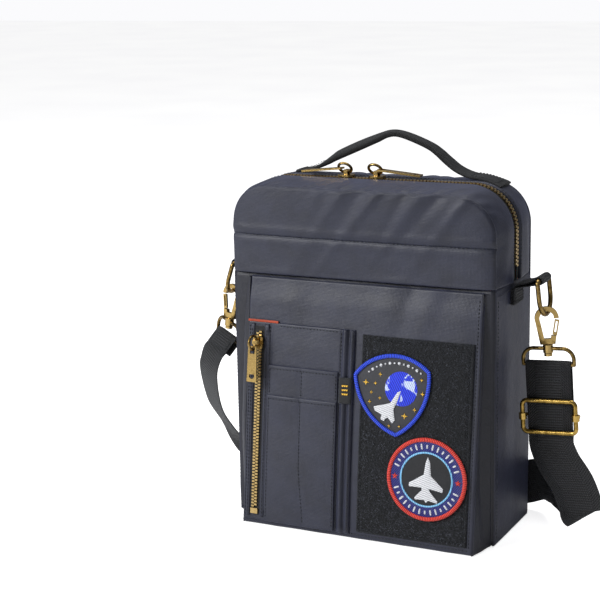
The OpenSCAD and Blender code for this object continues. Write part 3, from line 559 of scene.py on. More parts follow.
def side_rows(side):
    """Side panel: soft upright folds, a little belly near the foot, and seams drawn in at its edges."""
    y, z = np.meshgrid(np.linspace(-1, 1, 60), np.linspace(0.4, FOLD + 0.2, 80))
    d = (1 - np.abs(y)) * 43
    out = 2.6 * (1 - np.abs(y) ** 2.4) * np.sin(np.clip(z / FOLD, 0, 1) * math.pi * 0.93 + 0.12) ** 0.7
    out = out + 1.1 * hump(y, -0.45, 0.22) * hump(z, 120, 70) - 0.9 * hump(y, 0.05, 0.2) * hump(z, 90, 80)
    out = out + 0.7 * hump(y, 0.5, 0.25) * np.sin(z / 26) + 0.6 * hump(z - y * 20, 40, 14)
    out = out - roll(d, 2.2) - roll(z, 2.5) * 0.8 - roll(FOLD - 2.5 - z,
                                                         2.0) * 0.7 * (z < FOLD - 2.5) - 1.4 * (z > FOLD
                                                               - 2.5)
    depth = np.where(y < 0, HALF_D - 0.8, HALF_D - 0.6)
    out = out * (1.0 if side < 0 else 0.35)         # the fittings swing in close on the right
    return np.stack([side * (WALL[side] + out), y * depth, z], 2)

for side, name in ((-1, "left"), (1, "right")):
    piece("side_" + name, [(side_rows(side), False)], shell_nylon, body="bag", slot="black_nylon",
          stands_for=["side_panel_" + name], thick=1.4, face=(side, 0, 0))
    stitch("bag", [(side * (WALL[side] + 0.9), -40, 6), (side * (WALL[side] + 0.9), -40, 203)],
           (side, 0, 0))
    stitch("bag", [(side * (WALL[side] + 1.2), y0, 204.5) for y0 in (-41, -24, 24, 41)], (side, 0, 0))

x, z = face_rows(0.4, TOP, rows=90, columns=90)
y = HALF_D + 2.6 * (1 - np.clip(np.abs((x - BODY_X) / HALF_W), 0, 1) ** 3) * np.sin(np.clip(z / TOP, 0,
      1) * math.pi) ** 0.6
y = y + 0.6 * np.sin(x / 24 + z / 60) * hump(z, 150, 90) - roll(edge_distance(x, z), 2.4) - roll(z, 2.4)
piece("back", sheet(x, y, z), shell_nylon, body="bag", slot="black_nylon",
      stands_for=["back_panel"], thick=1.4, face=(0, 1, 0))

across = lambda inset, count: BODY_X + np.linspace(inset - HALF_W, HALF_W - inset, count)
x, y = np.meshgrid(across(0.6, 60), np.linspace(-HALF_D, HALF_D - 0.8, 30))
lift = 0.15 + 0.25 * (1 + np.sin(x / 15) * np.sin(y / 11)) + 1.2 * roll(HALF_W - np.abs(x - BODY_X),
      3) + 0.8 * roll(HALF_D - y, 3)
piece("bottom", [(np.stack([x, y, lift], 2), False)], shaded_nylon, body="bag", slot="black_nylon",
      stands_for=["bottom_panel"], thick=1.2, face=(0, 0, -1))
x, z = np.meshgrid(across(0.5, 60), np.linspace(1.5, FOLD - 0.2, 50))
y = -HALF_D + roll(HALF_W - np.abs(x - BODY_X), 2) + 0.3 * np.sin(x / 20)
piece("front_wall", sheet(x, y, z), shaded_nylon, body="bag", slot="black_nylon",
      stands_for=["front_panel"], thick=1.3, face=(0, -1, 0))

# ---------- lining ----------

def lining_wave(a, b):
    return 0.5 * np.sin(a / 17 + b / 29) + 0.4 * np.sin(a / 9 - b / 14)

IN = 2.6
x, z = face_rows(3, TOP - IN, inset=IN, rows=50, columns=60)
back_wall = np.stack([x, HALF_D - IN - 0.6 - np.abs(lining_wave(x, z)), z], 2)
x, z = np.meshgrid(across(IN, 60), np.linspace(3, FOLD - 1, 40))
front_wall = np.stack([x, -HALF_D + IN + 0.6 + np.abs(lining_wave(x, z)), z], 2)
y, z = np.meshgrid(np.linspace(-HALF_D + IN, HALF_D - IN, 24), np.linspace(3, FOLD - 0.5, 40))
walls = [np.stack([side * (WALL[side] - IN - 0.5 - np.abs(lining_wave(y, z))), y, z], 2) for side in (-1,
      1)]
x, y = np.meshgrid(across(IN, 50), np.linspace(-HALF_D + IN, HALF_D - IN, 24))
floor_cloth = np.stack([x, y, 2.1 + 0 * x], 2)

def lining_rim(side, z0):
    s, x, z, nx, nz = rim(z0, 160)
    v = np.linspace(0, 1, 10)
    y = side * (HALF_D - IN - 0.4 - (HALF_D - IN - 9) * v)
    out = -IN - 0.4 + 3.0 * v ** 1.5 + 0.25 * np.sin(s[:, None] / 6)
    return np.stack([x[:, None] + nx[:, None] * out, y + 0 * x[:, None], z[:, None] + nz[:, None] * out], 2)

piece("lining_body", [(g, False) for g in (back_wall, front_wall, *walls, floor_cloth,
                                           lining_rim(1, FOLD - 0.5))],
      lining_twill, body="bag", stands_for=["lining"], thick=0.6, slot="orange_lining")
x, z = face_rows(FOLD + 0.4, TOP - IN, inset=IN, rows=30, columns=60)
mouth_wall = np.stack([x, -HALF_D + IN + 0.4 + np.abs(lining_wave(x, z)), z], 2)
piece("lining_mouth", [(mouth_wall, False), (lining_rim(-1, FOLD + 0.4), False)], lining_twill,
      bend=opening,
      stands_for=["mouth_lining"], thick=0.6, slot="orange_lining")

# ---------- front pocket ----------

POCKET_L, POCKET_R = -106.0, 99.0

def on_pocket(x, s, n):
    """A point on the pocket's face: x across, s up the face, n out from it, in mm."""
    x, s, n = np.broadcast_arrays(np.asarray(x, float), s, n)
    side = np.clip((x - 3) / 92, -1, 1)
    n = n + 2.2 * (1 - np.abs(side) ** 4) * np.sin(np.clip(s / 208, 0, 1) * math.pi) ** 0.6
    n = n - 1.6 * smooth((s - 188) / 18)
    return np.stack([x, -HALF_D - 28 - n * math.cos(SLOPE) + s * math.sin(SLOPE),
                     s * math.cos(SLOPE) + n * math.sin(SLOPE)], -1)

pocket_out = (0, -math.cos(SLOPE), math.sin(SLOPE))

def face_sheet(x, s, n):
    """One open grid on the pocket's face, as piece takes it."""
    return [(on_pocket(x, s, n), False)]

def badge(name, grids, material, body, **how):
    """A badge's piece, which looks out of the pocket's face."""
    return piece(name, grids, material, body=body, face=pocket_out, **how)

def seam_on_face(x, s, n, **how):
    """Notes a row of stitches that ride on the bag, on the pocket's face."""
    stitch("bag", on_pocket(x, s, n), pocket_out, **how)

def pocket_layer(name, x0, x1, s0, s1, lift, material, nodes, thick, edge=0.9, columns=70, rows=80,
                 slot="black_nylon"):
    """A layer sewn on the pocket's face; lift(x, s) is its stand-off, and its edges are turned under."""
    cluster = lambda n: 0.5 + 0.5 * np.sin(np.linspace(-math.pi / 2, math.pi / 2,
                                                       n)) * 0.6 + 0.5 * 0.4 * np.linspace(-1, 1, n)
    x, s = np.meshgrid(x0 + (x1 - x0) * cluster(columns), s0 + (s1 - s0) * cluster(rows))
    d = np.minimum(np.minimum(x - x0, x1 - x), np.minimum(s - s0, s1 - s))
    n = lift(x, s) - roll(d, edge)
    return piece(name, face_sheet(x, s, n), material, body="bag", slot=slot, stands_for=nodes,
                 thick=thick, face=pocket_out)

def pocket_face(x, s):
    n = 1.3 * hump(x + 0.35 * (208 - s), 58, 9) * np.exp(-(208 - s) / 30) - 1.0 * hump(x + 0.3 * (208 - s),
          40, 7) * np.exp(-(208 - s) / 22)
    n = n + 1.0 * hump(x + 0.25 * (208 - s), 22, 10) * np.exp(-(208 - s) / 26) - 0.7 * hump(x, -48,
          12) * hump(s, 195, 22)
    n = n + 0.8 * hump(x, -70, 14) * hump(s, 192, 18) + 0.6 * hump(x, 82, 10) * np.sin(s / 25) * hump(s,
          120, 80)
    return n * smooth((s - 150) / 20) + 0.25 * np.sin(s / 31) * hump(x, 96, 6)

pocket_layer("pocket_face", POCKET_L, POCKET_R, 1, 209.5, pocket_face, shell_nylon, ["pocket_front"], 1.3,
             edge=2.0,
             columns=110, rows=110)
s = np.linspace(6, 205, 200)
seam_on_face(95.4 + 0 * s, s, pocket_face(95.4, s) + 0.05)
line = np.linspace(-103, 96, 200)
seam_on_face(line, 4.6 + 0 * line, 0.1)

def bellows(side):
    """Side wall of the front pocket; the left one bellies out and the right one folds in."""
    t, z = np.meshgrid(np.linspace(0, 1, 26), np.linspace(0.6, 207, 90))
    face_y = -HALF_D - 28 + z * 25 / 210 + 0.8
    y = face_y * (1 - t) + (-HALF_D + 0.3) * t
    full = np.sin(np.clip(z / 214, 0, 1) * math.pi) ** 0.7
    if side < 0:
        x = POCKET_L + 0.3 - 7.2 * np.sin(math.pi * t) ** 0.8 * full - 0.6 * t + 0.5 * np.sin(z / 19 + t
              * 3) * full
    else:
        x = POCKET_R - 0.4 + 6.0 * t ** 1.2 - 4.6 * np.sin(math.pi * t) * full - 1.0 * np.sin(z / 8 + 5
              * t) * hump(z, 190, 16) * np.sin(math.pi * t)
        x = x + 0.8 * np.sin(z / 23 + 4 * t) * np.sin(math.pi * t) + 1.3 * hump(t, 0.45, 0.12) * full
    return np.stack([x, y, z], 2)

for side, name in ((-1, "left"), (1, "right")):
    piece("bellows_" + name, [(bellows(side), False)], shaded_nylon, body="bag", slot="black_nylon",
          stands_for=["pocket_gusset_" + name], thick=1.0, face=(side, 0, 0))
x, t = np.meshgrid(np.linspace(POCKET_L + 0.3, POCKET_R - 0.3, 80), np.linspace(0, 1, 16))
y = -HALF_D - 27.6 + 28 * t
piece("pocket_bottom", [(np.stack([x, y, 0.2 + 1.2 * roll(t * 28, 2.5) + 0.2 * np.abs(np.sin(x / 12))], 2),
                         False)],
      shaded_nylon, body="bag", slot="black_nylon", stands_for=["pocket_base"], thick=1.0, face=(0, 0, -1))

# The sewn-on panel: zipper on its left, pen slots, and a folded bellows edge on its right.
UTIL_T, ZIP_X = 1.4, -94.0

def utility(x, s):
    n = UTIL_T + 0 * x
    n = n + 2.6 * hump(x, -15.4, 2.2) * smooth(s / 12) + 1.7 * hump(x, -9.6, 1.7) * smooth(s / 12)
    n = n - 0.8 * hump(x, -12.4, 0.9) - 0.7 * hump(x, -18.8, 1.0)
    n = n + 0.9 * hump(x, -85.6, 1.2) * smooth((s - 6) / 10) * smooth((168 - s) / 10)
    n = n - 0.5 * hump(x, -83.4, 1.0)
    n = n + 0.7 * hump(x, -50, 26) * hump(s, 152, 12) + 0.45 * np.sin(x / 5.5) * np.exp(-(172 - s) / 9)
    return n - 0.5 * hump(x, ZIP_X, 5.5)

pocket_layer("utility_panel", -105, -7.2, 4, 172, utility, shell_nylon, ["utility_panel"], 1.2, columns=120)
s = np.linspace(7, 169, 160)
for x0 in (-103.2, -84.6, -19.6, -8.6):
    seam_on_face(x0, s, utility(x0 + 0 * s, s) + 0.1)
line = np.linspace(-76, -21, 90)
seam_on_face(line, 169.3, utility(line, 169.3 + 0 * line) + 0.05)

PEN_L, PEN_R, PEN_MID = -85.0, -20.5, -53.5

def pen(level, top):
    """A tier of pen slots: two shallow pouches between three rows of stitching, slack at the top."""
    def lift(x, s):
        mid = PEN_MID + 5 * smooth((60 - s) / 60)
        t = np.where(x < mid, (x - PEN_L) / (mid - PEN_L), (x - mid) / (PEN_R - mid))
        pouch = np.clip(np.sin(np.clip(t, 0, 1) * math.pi), 0, 1) ** 0.6
        slack = 0.8 + 1.0 * smooth((s - top + 26) / 26) - 0.3 * smooth(s / 20)
        return level + pouch * slack + 0.25 * np.sin(s / 13 + x / 9) * pouch
    return lift

# Each tier's top edge is a double hem.
for name, node, top, level in (("pen_tier_rear", "pen_pocket_rear", 137, 2.3),
                               ("pen_tier_front", "pen_pocket_front", 112, 3.3)):
    lift = pen(level, top)
    pocket_layer(name, PEN_L, PEN_R, 5, top, lift, shell_nylon, [node], 1.0, edge=0.8)
    line = np.linspace(PEN_L + 2, PEN_R - 2, 90)
    seam_on_face(line, top - 3.0, lift(line, top - 3.0 + 0 * line) + 0.05)
    lo = 8 if level > 3 else 113
    s = np.linspace(lo, top - 2, 120)
    for x0 in (PEN_L + 1.8, PEN_R - 1.8):
        seam_on_face(x0, s, lift(x0 + 0 * s, s) + 0.05)
    mid = PEN_MID + 5 * smooth((60 - s) / 60)
    seam_on_face(mid, s, lift(mid, s) + 0.12)

x, s = np.meshgrid(np.linspace(-105, -77, 40), np.linspace(171.3, 173.5, 8))
n = UTIL_T + 0.7 - 0.8 * np.abs((s - 172.4) / 1.1) ** 3
piece("trim", face_sheet(x, s, n), orange_tape, body="bag", slot="orange_trim", stands_for=["rescue_trim"],
      thick=0.6, face=pocket_out)
x, s = np.meshgrid(np.linspace(-18, -8, 16), np.linspace(112, 133, 20))
n = 5.2 - 0.16 * (x + 18) + 0.35 * np.sin(s / 4) - 0.6 * hump(x, -8, 1.2)
piece("label", face_sheet(x, s, n), label_weave, body="bag", slot="black_webbing",
      stands_for=["side_label"],
      thick=0.7, face=pocket_out)

# ---------- pocket zipper ----------

x, s = np.meshgrid(np.linspace(ZIP_X - 6, ZIP_X + 6, 20), np.linspace(10, 168, 60))
n = 1.75 + 0.25 * hump(np.abs(x - ZIP_X), 2.6, 0.7) + 0 * s
piece("pocket_tape", face_sheet(x, s, n), tape_weave, body="bag", slot="black_webbing",
      stands_for=["pocket_zip_tape"], thick=0.5, face=pocket_out)
# Folded lips of cloth on both sides of the tape.
for k, (x0, x1) in enumerate(((ZIP_X - 8.2, ZIP_X - 4.6), (ZIP_X + 4.6, ZIP_X + 8.6))):
    x, s = np.meshgrid(np.linspace(x0, x1, 14), np.linspace(8, 170, 60))
    n = 1.9 + 0.75 * np.sin((x - x0) / (x1 - x0) * math.pi) ** 0.6 + 0.12 * np.sin(s / 11)
    piece("zip_lip_%d" % k, face_sheet(x, s, n), shell_nylon, body="bag", slot="black_nylon", thick=0.6,
          face=pocket_out)
    s = np.linspace(10, 168, 120)
    seam_on_face((x0 + x1) / 2 + (0.2 if k else -0.2), s, 2.75)

# ---------- hook-and-loop pile ----------

LOOP = (-1.0, 94.0, 7.0, 169.0)
x, s = np.meshgrid(np.linspace(LOOP[0], LOOP[1], 150), np.linspace(LOOP[2], LOOP[3], 250))
d = np.minimum(np.minimum(x - LOOP[0], LOOP[1] - x), np.minimum(s - LOOP[2], LOOP[3] - s))
n = 1.7 + rng.uniform(-0.5, 0.5, x.shape) * smooth(d / 1.5) - roll(d, 1.3) - 0.6 * hump(d, 3.2, 0.8)
piece("loop_square", face_sheet(x, s, n), loop_pile, body="bag", slot="loop_pile",
      stands_for=["loop_panel"],
      thick=0.8, face=pocket_out)
d = 3.2
frame_line = np.array([(LOOP[0] + d, LOOP[2] + d), (LOOP[1] - d, LOOP[2] + d), (LOOP[1] - d, LOOP[3] - d),
                       (LOOP[0] + d, LOOP[3] - d), (LOOP[0] + d, LOOP[2] + d)])
for a, b in zip(frame_line[:-1], frame_line[1:]):
    t = np.linspace(0, 1, 80)
    seam_on_face(a[0] + (b[0] - a[0]) * t, a[1] + (b[1] - a[1]) * t, 1.45, pitch=3.0)

# ---------- badges ----------

def dense(points, step=0.8):
    """Closes an outline and adds points along it, about a step apart."""
    p = np.asarray(points, float)
    q = np.concatenate([p, p[:1]])
    run = np.concatenate([[0], np.cumsum(np.linalg.norm(np.diff(q, axis=0), axis=1))])
    at = np.arange(0, run[-1], step)
    return np.stack([np.interp(at, run, q[:, k]) for k in range(2)], 1)

def pad(outline, centre, n0, rise, rings=7):
    """A raised, rounded fill of an outline on the pocket's face."""
    c = np.asarray(centre, float)
    t = np.linspace(0, 1, rings)[:, None, None] ** 0.8
    xs = c + (np.asarray(outline) - c) * t
    n = n0 + rise * (1 - t[..., 0] ** 5) + 0 * xs[..., 0]
    rows = on_pocket(xs[..., 0], xs[..., 1], n)
    return (rows, True, np.concatenate([xs, xs[:, :1]], 1))

def rope(outline, n0, radius, high):
    """A merrowed edge: a rounded cord of close threads round an outline."""
    p = np.asarray(outline, float)
    along = np.roll(p, -1, 0) - np.roll(p, 1, 0)
    along /= np.linalg.norm(along, axis=1)[:, None]
    side = np.stack([along[:, 1], -along[:, 0]], 1)
    a = np.linspace(0, 2 * np.pi, 13)[:-1]
    rows, uv = [], []
    run = np.cumsum(np.linalg.norm(p - np.roll(p, 1, 0), axis=1))
    for w in np.append(a, 2 * np.pi):
        xs = p + side * (radius * math.cos(w))
        rows.append(on_pocket(xs[:, 0], xs[:, 1], n0 + high * math.sin(w)
                              + 0.10 * np.sin(run * 2 * math.pi / 1.1) * (math.sin(w) > -0.2)))
        uv.append(np.stack([run, w * radius + 0 * run], 1))
    uv = np.array(uv)
    return (np.array(rows), True, np.concatenate([uv, uv[:, :1] + [[[run[-1] - run[0] + 1, 0]]]], 1))

def circle(centre, radius, count=120):
    a = np.linspace(0, 2 * np.pi, count + 1)[:-1]
    return np.asarray(centre) + radius * np.stack([np.cos(a), np.sin(a)], 1)

def star(centre, radius, points=4, inner=0.32, turn=math.pi / 2):
    a = turn + np.arange(2 * points) * math.pi / points
    r = np.where(np.arange(2 * points) % 2 == 0, radius, radius * inner)
    return dense(np.asarray(centre) + r[:, None] * np.stack([np.cos(a), np.sin(a)], 1), 0.5)

def bar(centre, angle, length, width):
    """Outline of a short bar with rounded corners."""
    a = np.linspace(0, 2 * np.pi, 17)[:-1]
    p = np.stack([np.sign(np.cos(a)) * np.abs(np.cos(a)) ** 0.5 * length / 2,
                  np.sign(np.sin(a)) * np.abs(np.sin(a)) ** 0.5 * width / 2], 1)
    c, s = math.cos(angle), math.sin(angle)
    return np.asarray(centre) + p @ np.array([[c, s], [-s, c]])

# Shield: three arcs, the same as the solid beneath it.
SHIELD_AT, SHIELD_TURN = np.array([28.3, 124.0]), math.radians(6.4)

def shield(inset):
    """Outline of the shield badge, taken in by an inset."""
    made = []
    for a in np.linspace(0, 2 * np.pi, 241)[:-1]:
        d = np.array([math.cos(a), math.sin(a)])
        reach = 1e9
        for centre, r in (((20.9, 15.2), 54), ((-20.9, 15.2), 54), ((0, -11.8), 43.8)):
            c = np.array(centre)
            b = d @ c
            reach = min(reach, b + math.sqrt(b * b - c @ c + (r - inset) ** 2))
        made.append(d * reach)
    c, s = math.cos(SHIELD_TURN), math.sin(SHIELD_TURN)
    return SHIELD_AT + np.array(made) @ np.array([[c, s], [-s, c]])

GROUND = 3.4            # stand-off of a badge's ground
badge("shield_ground", [pad(shield(2.6), SHIELD_AT, GROUND - 1.2, 1.2, 24)], badge_twill, "shield_badge",
      slot="patch_grey", stands_for=["patch_shield"])
piece("shield_edging", [rope(shield(1.5), GROUND - 0.4, 1.6, 1.15)], blue_edging, body="shield_badge",
      slot="patch_blue",
      stands_for=["patch_shield_border"])
badge("shield_globe", [pad(circle((35, 128.6), 14), (35, 128.6), GROUND - 0.1, 0.75, 12)], globe_thread,
      "shield_badge", slot="patch_blue")
glider = [(36.2, 128.5), (33.2, 127.2), (26.5, 116.5), (12.4, 112.6), (13.4, 109.4), (19.6, 106.6),
          (18.6, 103),
          (21.4, 101.6), (24.6, 105.2), (28.8, 100.6), (31, 103), (29.6, 112), (33.8, 121)]
badge("shield_craft", [pad(dense(glider), (24.6, 110.5), GROUND + 0.45, 0.7, 9)], white_thread,
      "shield_badge")
gold = [(16.9, 138.9, 1.9), (4.7, 131.4, 2.7), (13.1, 131.4, 1.8), (9.7, 123.8, 1.7), (17.3, 119.9, 1.7),
        (8.5, 116, 1.8), (52.3, 137.5, 1.8), (53.6, 126.4, 2.2), (47.4, 113.2, 1.9), (39, 107.4, 2.9),
        (26.1, 98.2, 1.5), (34.8, 98.6, 1.5)]
badge("shield_stars", [pad(star((a, b), r), (a, b), GROUND, 0.5, 4) for a, b, r in gold], gold_thread,
      "shield_badge")
arc_marks = []
for k, a in enumerate(np.radians(np.linspace(131, 56, 13))):
    c = np.array([31.0, 112.5]) + 36.5 * np.array([math.cos(a), math.sin(a)])
    arc_marks.append(pad(circle(c, 1.25 if k % 2 else 0.8, 14), c, GROUND, 0.55, 4))
marks = [(on_pocket(x, s, 5.75 - 0.16 * (x + 18) + 0.35 * np.sin(s / 4)), False)
         for x, s in (np.meshgrid(np.linspace(-15.6, -10.4, 8),
                                  np.linspace(low, low + 1.3, 4)) for low in (119, 122.4, 125.8))]
piece("label_bars", marks, gold_thread, body="bag", thick=0.3, face=pocket_out)
badge("shield_marks", arc_marks, white_thread, "shield_badge")

ROUND_AT = np.array([59.4, 58.5])
badge("round_ground", [pad(circle(ROUND_AT, 22), ROUND_AT, GROUND - 0.3, 0.3, 16)], badge_black,
      "round_badge",
      slot="patch_navy", stands_for=["patch_round"])

def ring_band(inner, outer, n0, rise):
    t = np.linspace(0, 1, 9)
    xs = np.stack([circle(ROUND_AT, inner + (outer - inner) * v, 160) for v in t])
    n = (n0 + rise * np.sin(math.pi * t) ** 0.4)[:, None]
    return (on_pocket(xs[..., 0], xs[..., 1], n + 0 * xs[..., 0]), True, np.concatenate([xs, xs[:, :1]], 1))

badge("round_band", [ring_band(21.5, 31, GROUND - 0.6, 0.7)], navy_thread, "round_badge", slot="patch_navy")
badge("round_line", [ring_band(20.9, 22.4, GROUND - 0.2, 0.7)], sky_thread, "round_badge",
      slot="patch_blue")
piece("round_edging", [rope(circle(ROUND_AT, 31.9, 240), GROUND - 0.4, 1.7, 1.25)], red_edging,
      body="round_badge",
      slot="patch_red", stands_for=["patch_round_border"])
ticks = []
for k in range(36):
    if k in (0, 1, 17, 18, 19, 35):
        continue
    a = math.radians(10 * k)
    c = ROUND_AT + 26.6 * np.array([math.cos(a), math.sin(a)])
    ticks.append(pad(bar(c, a, 4.6 if k % 3 else 3.0, 1.5), c, GROUND + 0.1, 0.55, 4))
badge("round_marks", ticks, white_thread, "round_badge")
badge("round_stars", [pad(star(ROUND_AT + [d, 0], 2.9, 5, 0.42), ROUND_AT + [d, 0], GROUND + 0.1, 0.6, 4)
                      for d in (-26.6, 26.6)], red_thread, "round_badge", slot="patch_red")
jet = [(60.4, 77), (58.6, 72), (57.4, 62.4), (45.2, 54.6), (45, 51.6), (56, 51.6), (56, 47.4), (50.2, 43.4),
       (50.4, 41.6), (58.4, 42), (60, 39.6), (61.6, 41.8), (69.2, 40.4), (69.6, 42.2), (63.2, 46.6),
       (62.6, 51.2),
       (73.4, 49.6), (73.8, 52.6), (63.4, 61.8), (62.4, 72)]
badge("round_craft", [pad(dense(jet), (59.7, 53.5), GROUND + 0.1, 0.8, 9)], white_thread, "round_badge")

# ---------- handle ----------

grip = [(-90, 287.8, 12, 0), (-82, 288.6, 12, 0), (-74, 291.0, 11, 4), (-62, 297.6, 8.6, 16),
        (-55, 301.6, 7.6, 22),
        (-36, 310.0, 7.4, 24), (-18, 317.4, 7.2, 18), (-9, 320.8, 7.0, 8), (0, 321.2, 7.0, 0),
        (12, 318.0, 7.0, 0),
        (27, 312.0, 7.2, 0), (35, 307.0, 7.6, 0), (43, 300.4, 8.8, 0), (52, 294.0, 11, 0),
        (63, 289.6, 12.4, 0),
        (76, 287.8, 12.5, 0), (88, 284.4, 12.5, 2), (92, 282.6, 12.5, 2)]
g = spline(grip, 8)
line = np.stack([g[:, 0], 22 + 0 * g[:, 0], g[:, 1]], 1)
tilt = np.radians(g[:, 3])
wide = np.stack([0 * tilt, np.cos(tilt), np.sin(tilt)], 1)
thick = 1.3 + 1.1 * smooth((12 - g[:, 2]) / 4.5)
middle = int(np.argmin(np.abs(g[:, 0])))
for name, cut, x0, x1, nodes in (("handle_left", slice(0, middle + 1), -62, -40, ["handle_base_left"]),
                                 ("handle_right", slice(middle, None), 62, 40,
                                  ["handle_base_right", "handle_grip"])):
    piece(name, [(sweep(line[cut], wide[cut], g[cut, 2], thick[cut], edge=0.35), True)], handle_weave,
          bend=("bag", "handle", (x0, 22, 292), (x1, 22, 292)), slot="black_webbing", stands_for=nodes)
for side in (-1, 1):
    zs = lambda x0: np.interp(x0, g[:, 0], g[:, 1]) + 1.4
    for x0 in (66, 88):
        stitch("bag", [(side * x0, 22 + y0, zs(side * x0)) for y0 in (-9.5, 9.5)], (0, 0, 1), pitch=2.8)
    for y0 in (-9.5, 9.5):
        xs = np.linspace(66, 88, 12) * side
        stitch("bag", [(a, 22 + y0, zs(a)) for a in xs], (0, 0, 1), pitch=2.8)

# ---------- side tabs and strap ends ----------

def wrap_round(centre, radius, a0, a1, count=16):
    a = np.radians(np.linspace(a0, a1, count))
    return np.stack([centre[0] + radius * np.cos(a), centre[1] + radius * np.sin(a)], 1)

for side, name, at in ((-1, "left", (140, 209)), (1, "right", (131, 213))):
    r, wall = 2.9, WALL[side]
    out = np.concatenate([[(wall + 1.8, at[1] - 21), (wall + 2, at[1] - 12), (wall + 3.5, at[1] - 7.5)],
                          [(at[0] - 9, at[1] - 4.6)], wrap_round(at, r, -80, 160, 18),
                          [(at[0] - 9, at[1] - 2.2), (wall + 5.5, at[1] - 5), (wall + 3.8, at[1] - 10),
                           (wall + 3.6, at[1] - 21)]])
    p = np.concatenate([spline(out[:4], 5)[:-1], out[4:-4], spline(out[-4:], 5)])
    line = np.stack([side * p[:, 0], 0 * p[:, 0], p[:, 1]], 1)
    piece("tab_" + name, [(sweep(line, np.tile([0, 1, 0], (len(line), 1)), 11.3, 0.85), True)], strap_weave,
          body="bag",
          slot="black_webbing", stands_for=["tab_" + name])
    for y0 in (-9.4, 9.4):
        stitch("bag", [(side * (wall + 4.6), y0, at[1] - 19.5), (side * (wall + 4.6), y0, at[1] - 11)],
               (side, 0, 0), pitch=2.6)
    for z0 in (at[1] - 19.5, at[1] - 11):
        stitch("bag", [(side * (wall + 4.6), -9.4, z0), (side * (wall + 4.6), 9.4, z0)], (side, 0, 0),
               pitch=2.6)

def turned(angle, axis):
    return np.array(Matrix.Rotation(math.radians(angle), 3, axis))

def strap_place(side):
    """Carries points from the eye's lower bar into place; the webbing hangs along -z."""
    k = 0 if side < 0 else 1
    bar_at = np.array([(-140, 0, 209), (131, 0, 213)][k], float)
    lean, hook, turn, back = [(18, 8, -36, -35), (6.5, 3.5, 0, 0)][k]
    foot = bar_at + 28.5 * np.array([side * math.sin(math.radians(lean)), 0, -math.cos(math.radians(lean))])
    hang, spin, tip = turned(-side * hook, "Y"), turned(turn, "Z"), turned(back, "X")

    def place(p):
        p = np.asarray(p, float) @ tip.T + [0, 0, -16.6]
        return (p @ spin.T + [0, 0, -24.4]) @ hang.T + foot
    return place, lambda v: np.asarray(v, float) @ tip.T @ spin.T @ hang.T

for side, name, front_l, rear_l in ((-1, "left", 14, 14), (1, "right", 59, 46)):
    place, direct = strap_place(side)
    r = 2.55
    a = np.radians(np.linspace(180, 0, 17))
    loop = np.stack([0 * a, r * np.cos(a), r * np.sin(a)], 1)
    legs = lambda y0, l: np.stack([0 * np.arange(12.0), y0 + 0 * np.arange(12.0),
                                   -l * np.arange(12.0) / 11], 1)
    front, rear = legs(-r, front_l), legs(r, rear_l)
    if side > 0:
        front[:, 1] += 0.15 * np.sin(front[:, 2] / 9)
    line = np.concatenate([front[::-1][:-1], loop, rear[1:]])
    wide = np.tile([1.0, 0, 0], (len(line), 1))
    piece("strap_end_" + name, [(sweep(place(line), direct(wide), 18.7, 0.8), True)], strap_weave,
          body="hanger_" + name, slot="black_webbing", stands_for=["strap_end_" + name])
    key, low = "hanger_" + name, (13 if side < 0 else 12)
    for z0 in (-3.5, -low):
        stitch(key, place([(x0, -r - 0.85, z0) for x0 in (-15.5, 15.5)]), direct([(0, -1, 0)])[0],
               pitch=2.8)
    if side < 0:
        for x0 in (-15.5, 15.5):
            stitch(key, place([(x0, -r - 0.85, -3.5), (x0, -r - 0.85, -low)]), direct([(0, -1, 0)])[0],
                   pitch=2.8)

# ---------- stitching ----------

for key, rows in seams.items():
    how = {"bend": opening} if key == "opening" else {"body": key}
    piece("stitching_" + key, stitch_grids(rows), sewing_thread, slot="black_webbing", **how)

# ---------- metal and board kept from the frame ----------

fittings = {
    antique_brass: ["ring_left", "ring_right", "hook_left", "hook_right", "gate_left", "gate_right",
                    "eye_left",
                    "eye_right", "main_slider_left", "main_slider_right", "main_link_left",
                    "main_link_right",
                    "main_pull_left", "main_pull_right", "pocket_slider", "pocket_link", "pocket_pull"],
    zip_brass: ["main_zip_teeth_rear", "pocket_zip_teeth"],
    bright_brass: ["adjuster_frame", "adjuster_bar"],
    base_plastic: ["base_board"],
}
softened = {"hook_left": 0.9, "hook_right": 0.9, "gate_left": 0.4, "gate_right": 0.4,
            "main_pull_left": 0.45,
            "main_pull_right": 0.45, "pocket_pull": 0.45, "main_slider_left": 0.4, "main_slider_right": 0.4,
            "pocket_slider": 0.4, "main_zip_teeth_rear": 0.22, "pocket_zip_teeth": 0.25, "base_board": 0.8}

def dress(obj, material, edge):
    obj.data.materials.clear()
    obj.data.materials.append(material)
    if edge:
        bevel = obj.modifiers.new("rounded edges", "BEVEL")
        bevel.width, bevel.segments, bevel.limit_method = edge * MM, 3, "ANGLE"
        bevel.angle_limit = math.radians(35)
        bevel.harden_normals = False

for material, names in fittings.items():
    for name in names:
        dress(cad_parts[name], material, softened.get(name, 0))
dress(teeth, zip_brass, 0.22)

# ---------- floor and light ----------

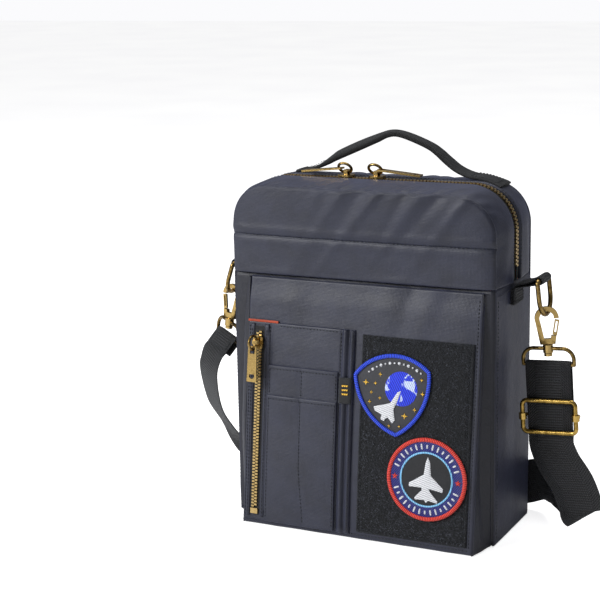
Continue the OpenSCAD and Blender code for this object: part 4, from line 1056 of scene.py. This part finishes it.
def plain_floor():
    mesh = sheet_mesh("floor",
                      [(np.array([[(-9e3, -9e3, 0), (9e3, -9e3, 0)], [(-9e3, 9e3, 0), (9e3, 9e3, 0)]]),
                        False)])
    obj = bpy.data.objects.new("floor", mesh)
    obj.location.z = -0.0004
    bpy.context.scene.collection.objects.link(obj)
    mat, tree, shader = start("painted_floor", Specular_IOR_Level=0.2)
    place = put(tree, "TexCoord")["Object"]
    tone = put(tree, "TexNoise", {"Vector": place, "Scale": 3.0, "Detail": 2.0})["Fac"]
    join(tree, shader, Base_Color=ramp(tree, tone, [(0.3, "#f1f1f2"), (0.7, "#f6f6f6")]))
    join(tree, shader, Roughness=put(tree, "MapRange", {"Value": tone, "To Min": 0.8, "To Max": 0.9})[0])
    seen = put(tree, "LightPath")["Is Camera Ray"]
    join(tree, shader, Emission_Color=ramp(tree, tone, [(0.3, "#f6f6f7"), (0.7, "#fafafa")]),
         Emission_Strength=put(tree, "Math", {0: seen, 1: 0.8}, operation="MULTIPLY")[0])
    mesh.materials.append(mat)

plain_floor()

def lamp(name, place, target, power, size):
    data = bpy.data.lights.new(name, "AREA")
    data.energy, data.size = power, size
    obj = bpy.data.objects.new(name, data)
    obj.location = place
    obj.rotation_euler = (Vector(target) - Vector(place)).to_track_quat("-Z", "Y").to_euler()
    bpy.context.scene.collection.objects.link(obj)

lamp("key", (-1.3, -1.7, 1.3), (0, 0, 0.15), 62, 1.0)
lamp("fill", (1.6, -1.1, 0.9), (0, 0, 0.15), 1, 1.4)
lamp("top", (0.0, 0.3, 1.9), (0, 0, 0.15), 20, 1.2)

world = bpy.data.worlds.new("studio")
bpy.context.scene.world = world
world.use_nodes = True
sky = world.node_tree.nodes["Background"].inputs
sky["Color"].default_value = linear("#fbfbfd")
seen = put(world.node_tree, "LightPath")["Is Camera Ray"]
world.node_tree.links.new(put(world.node_tree, "MapRange",
                              {"Value": seen, "To Min": 0.2, "To Max": 1.0})[0], sky["Strength"])
bpy.context.scene.view_settings.view_transform = "Standard"
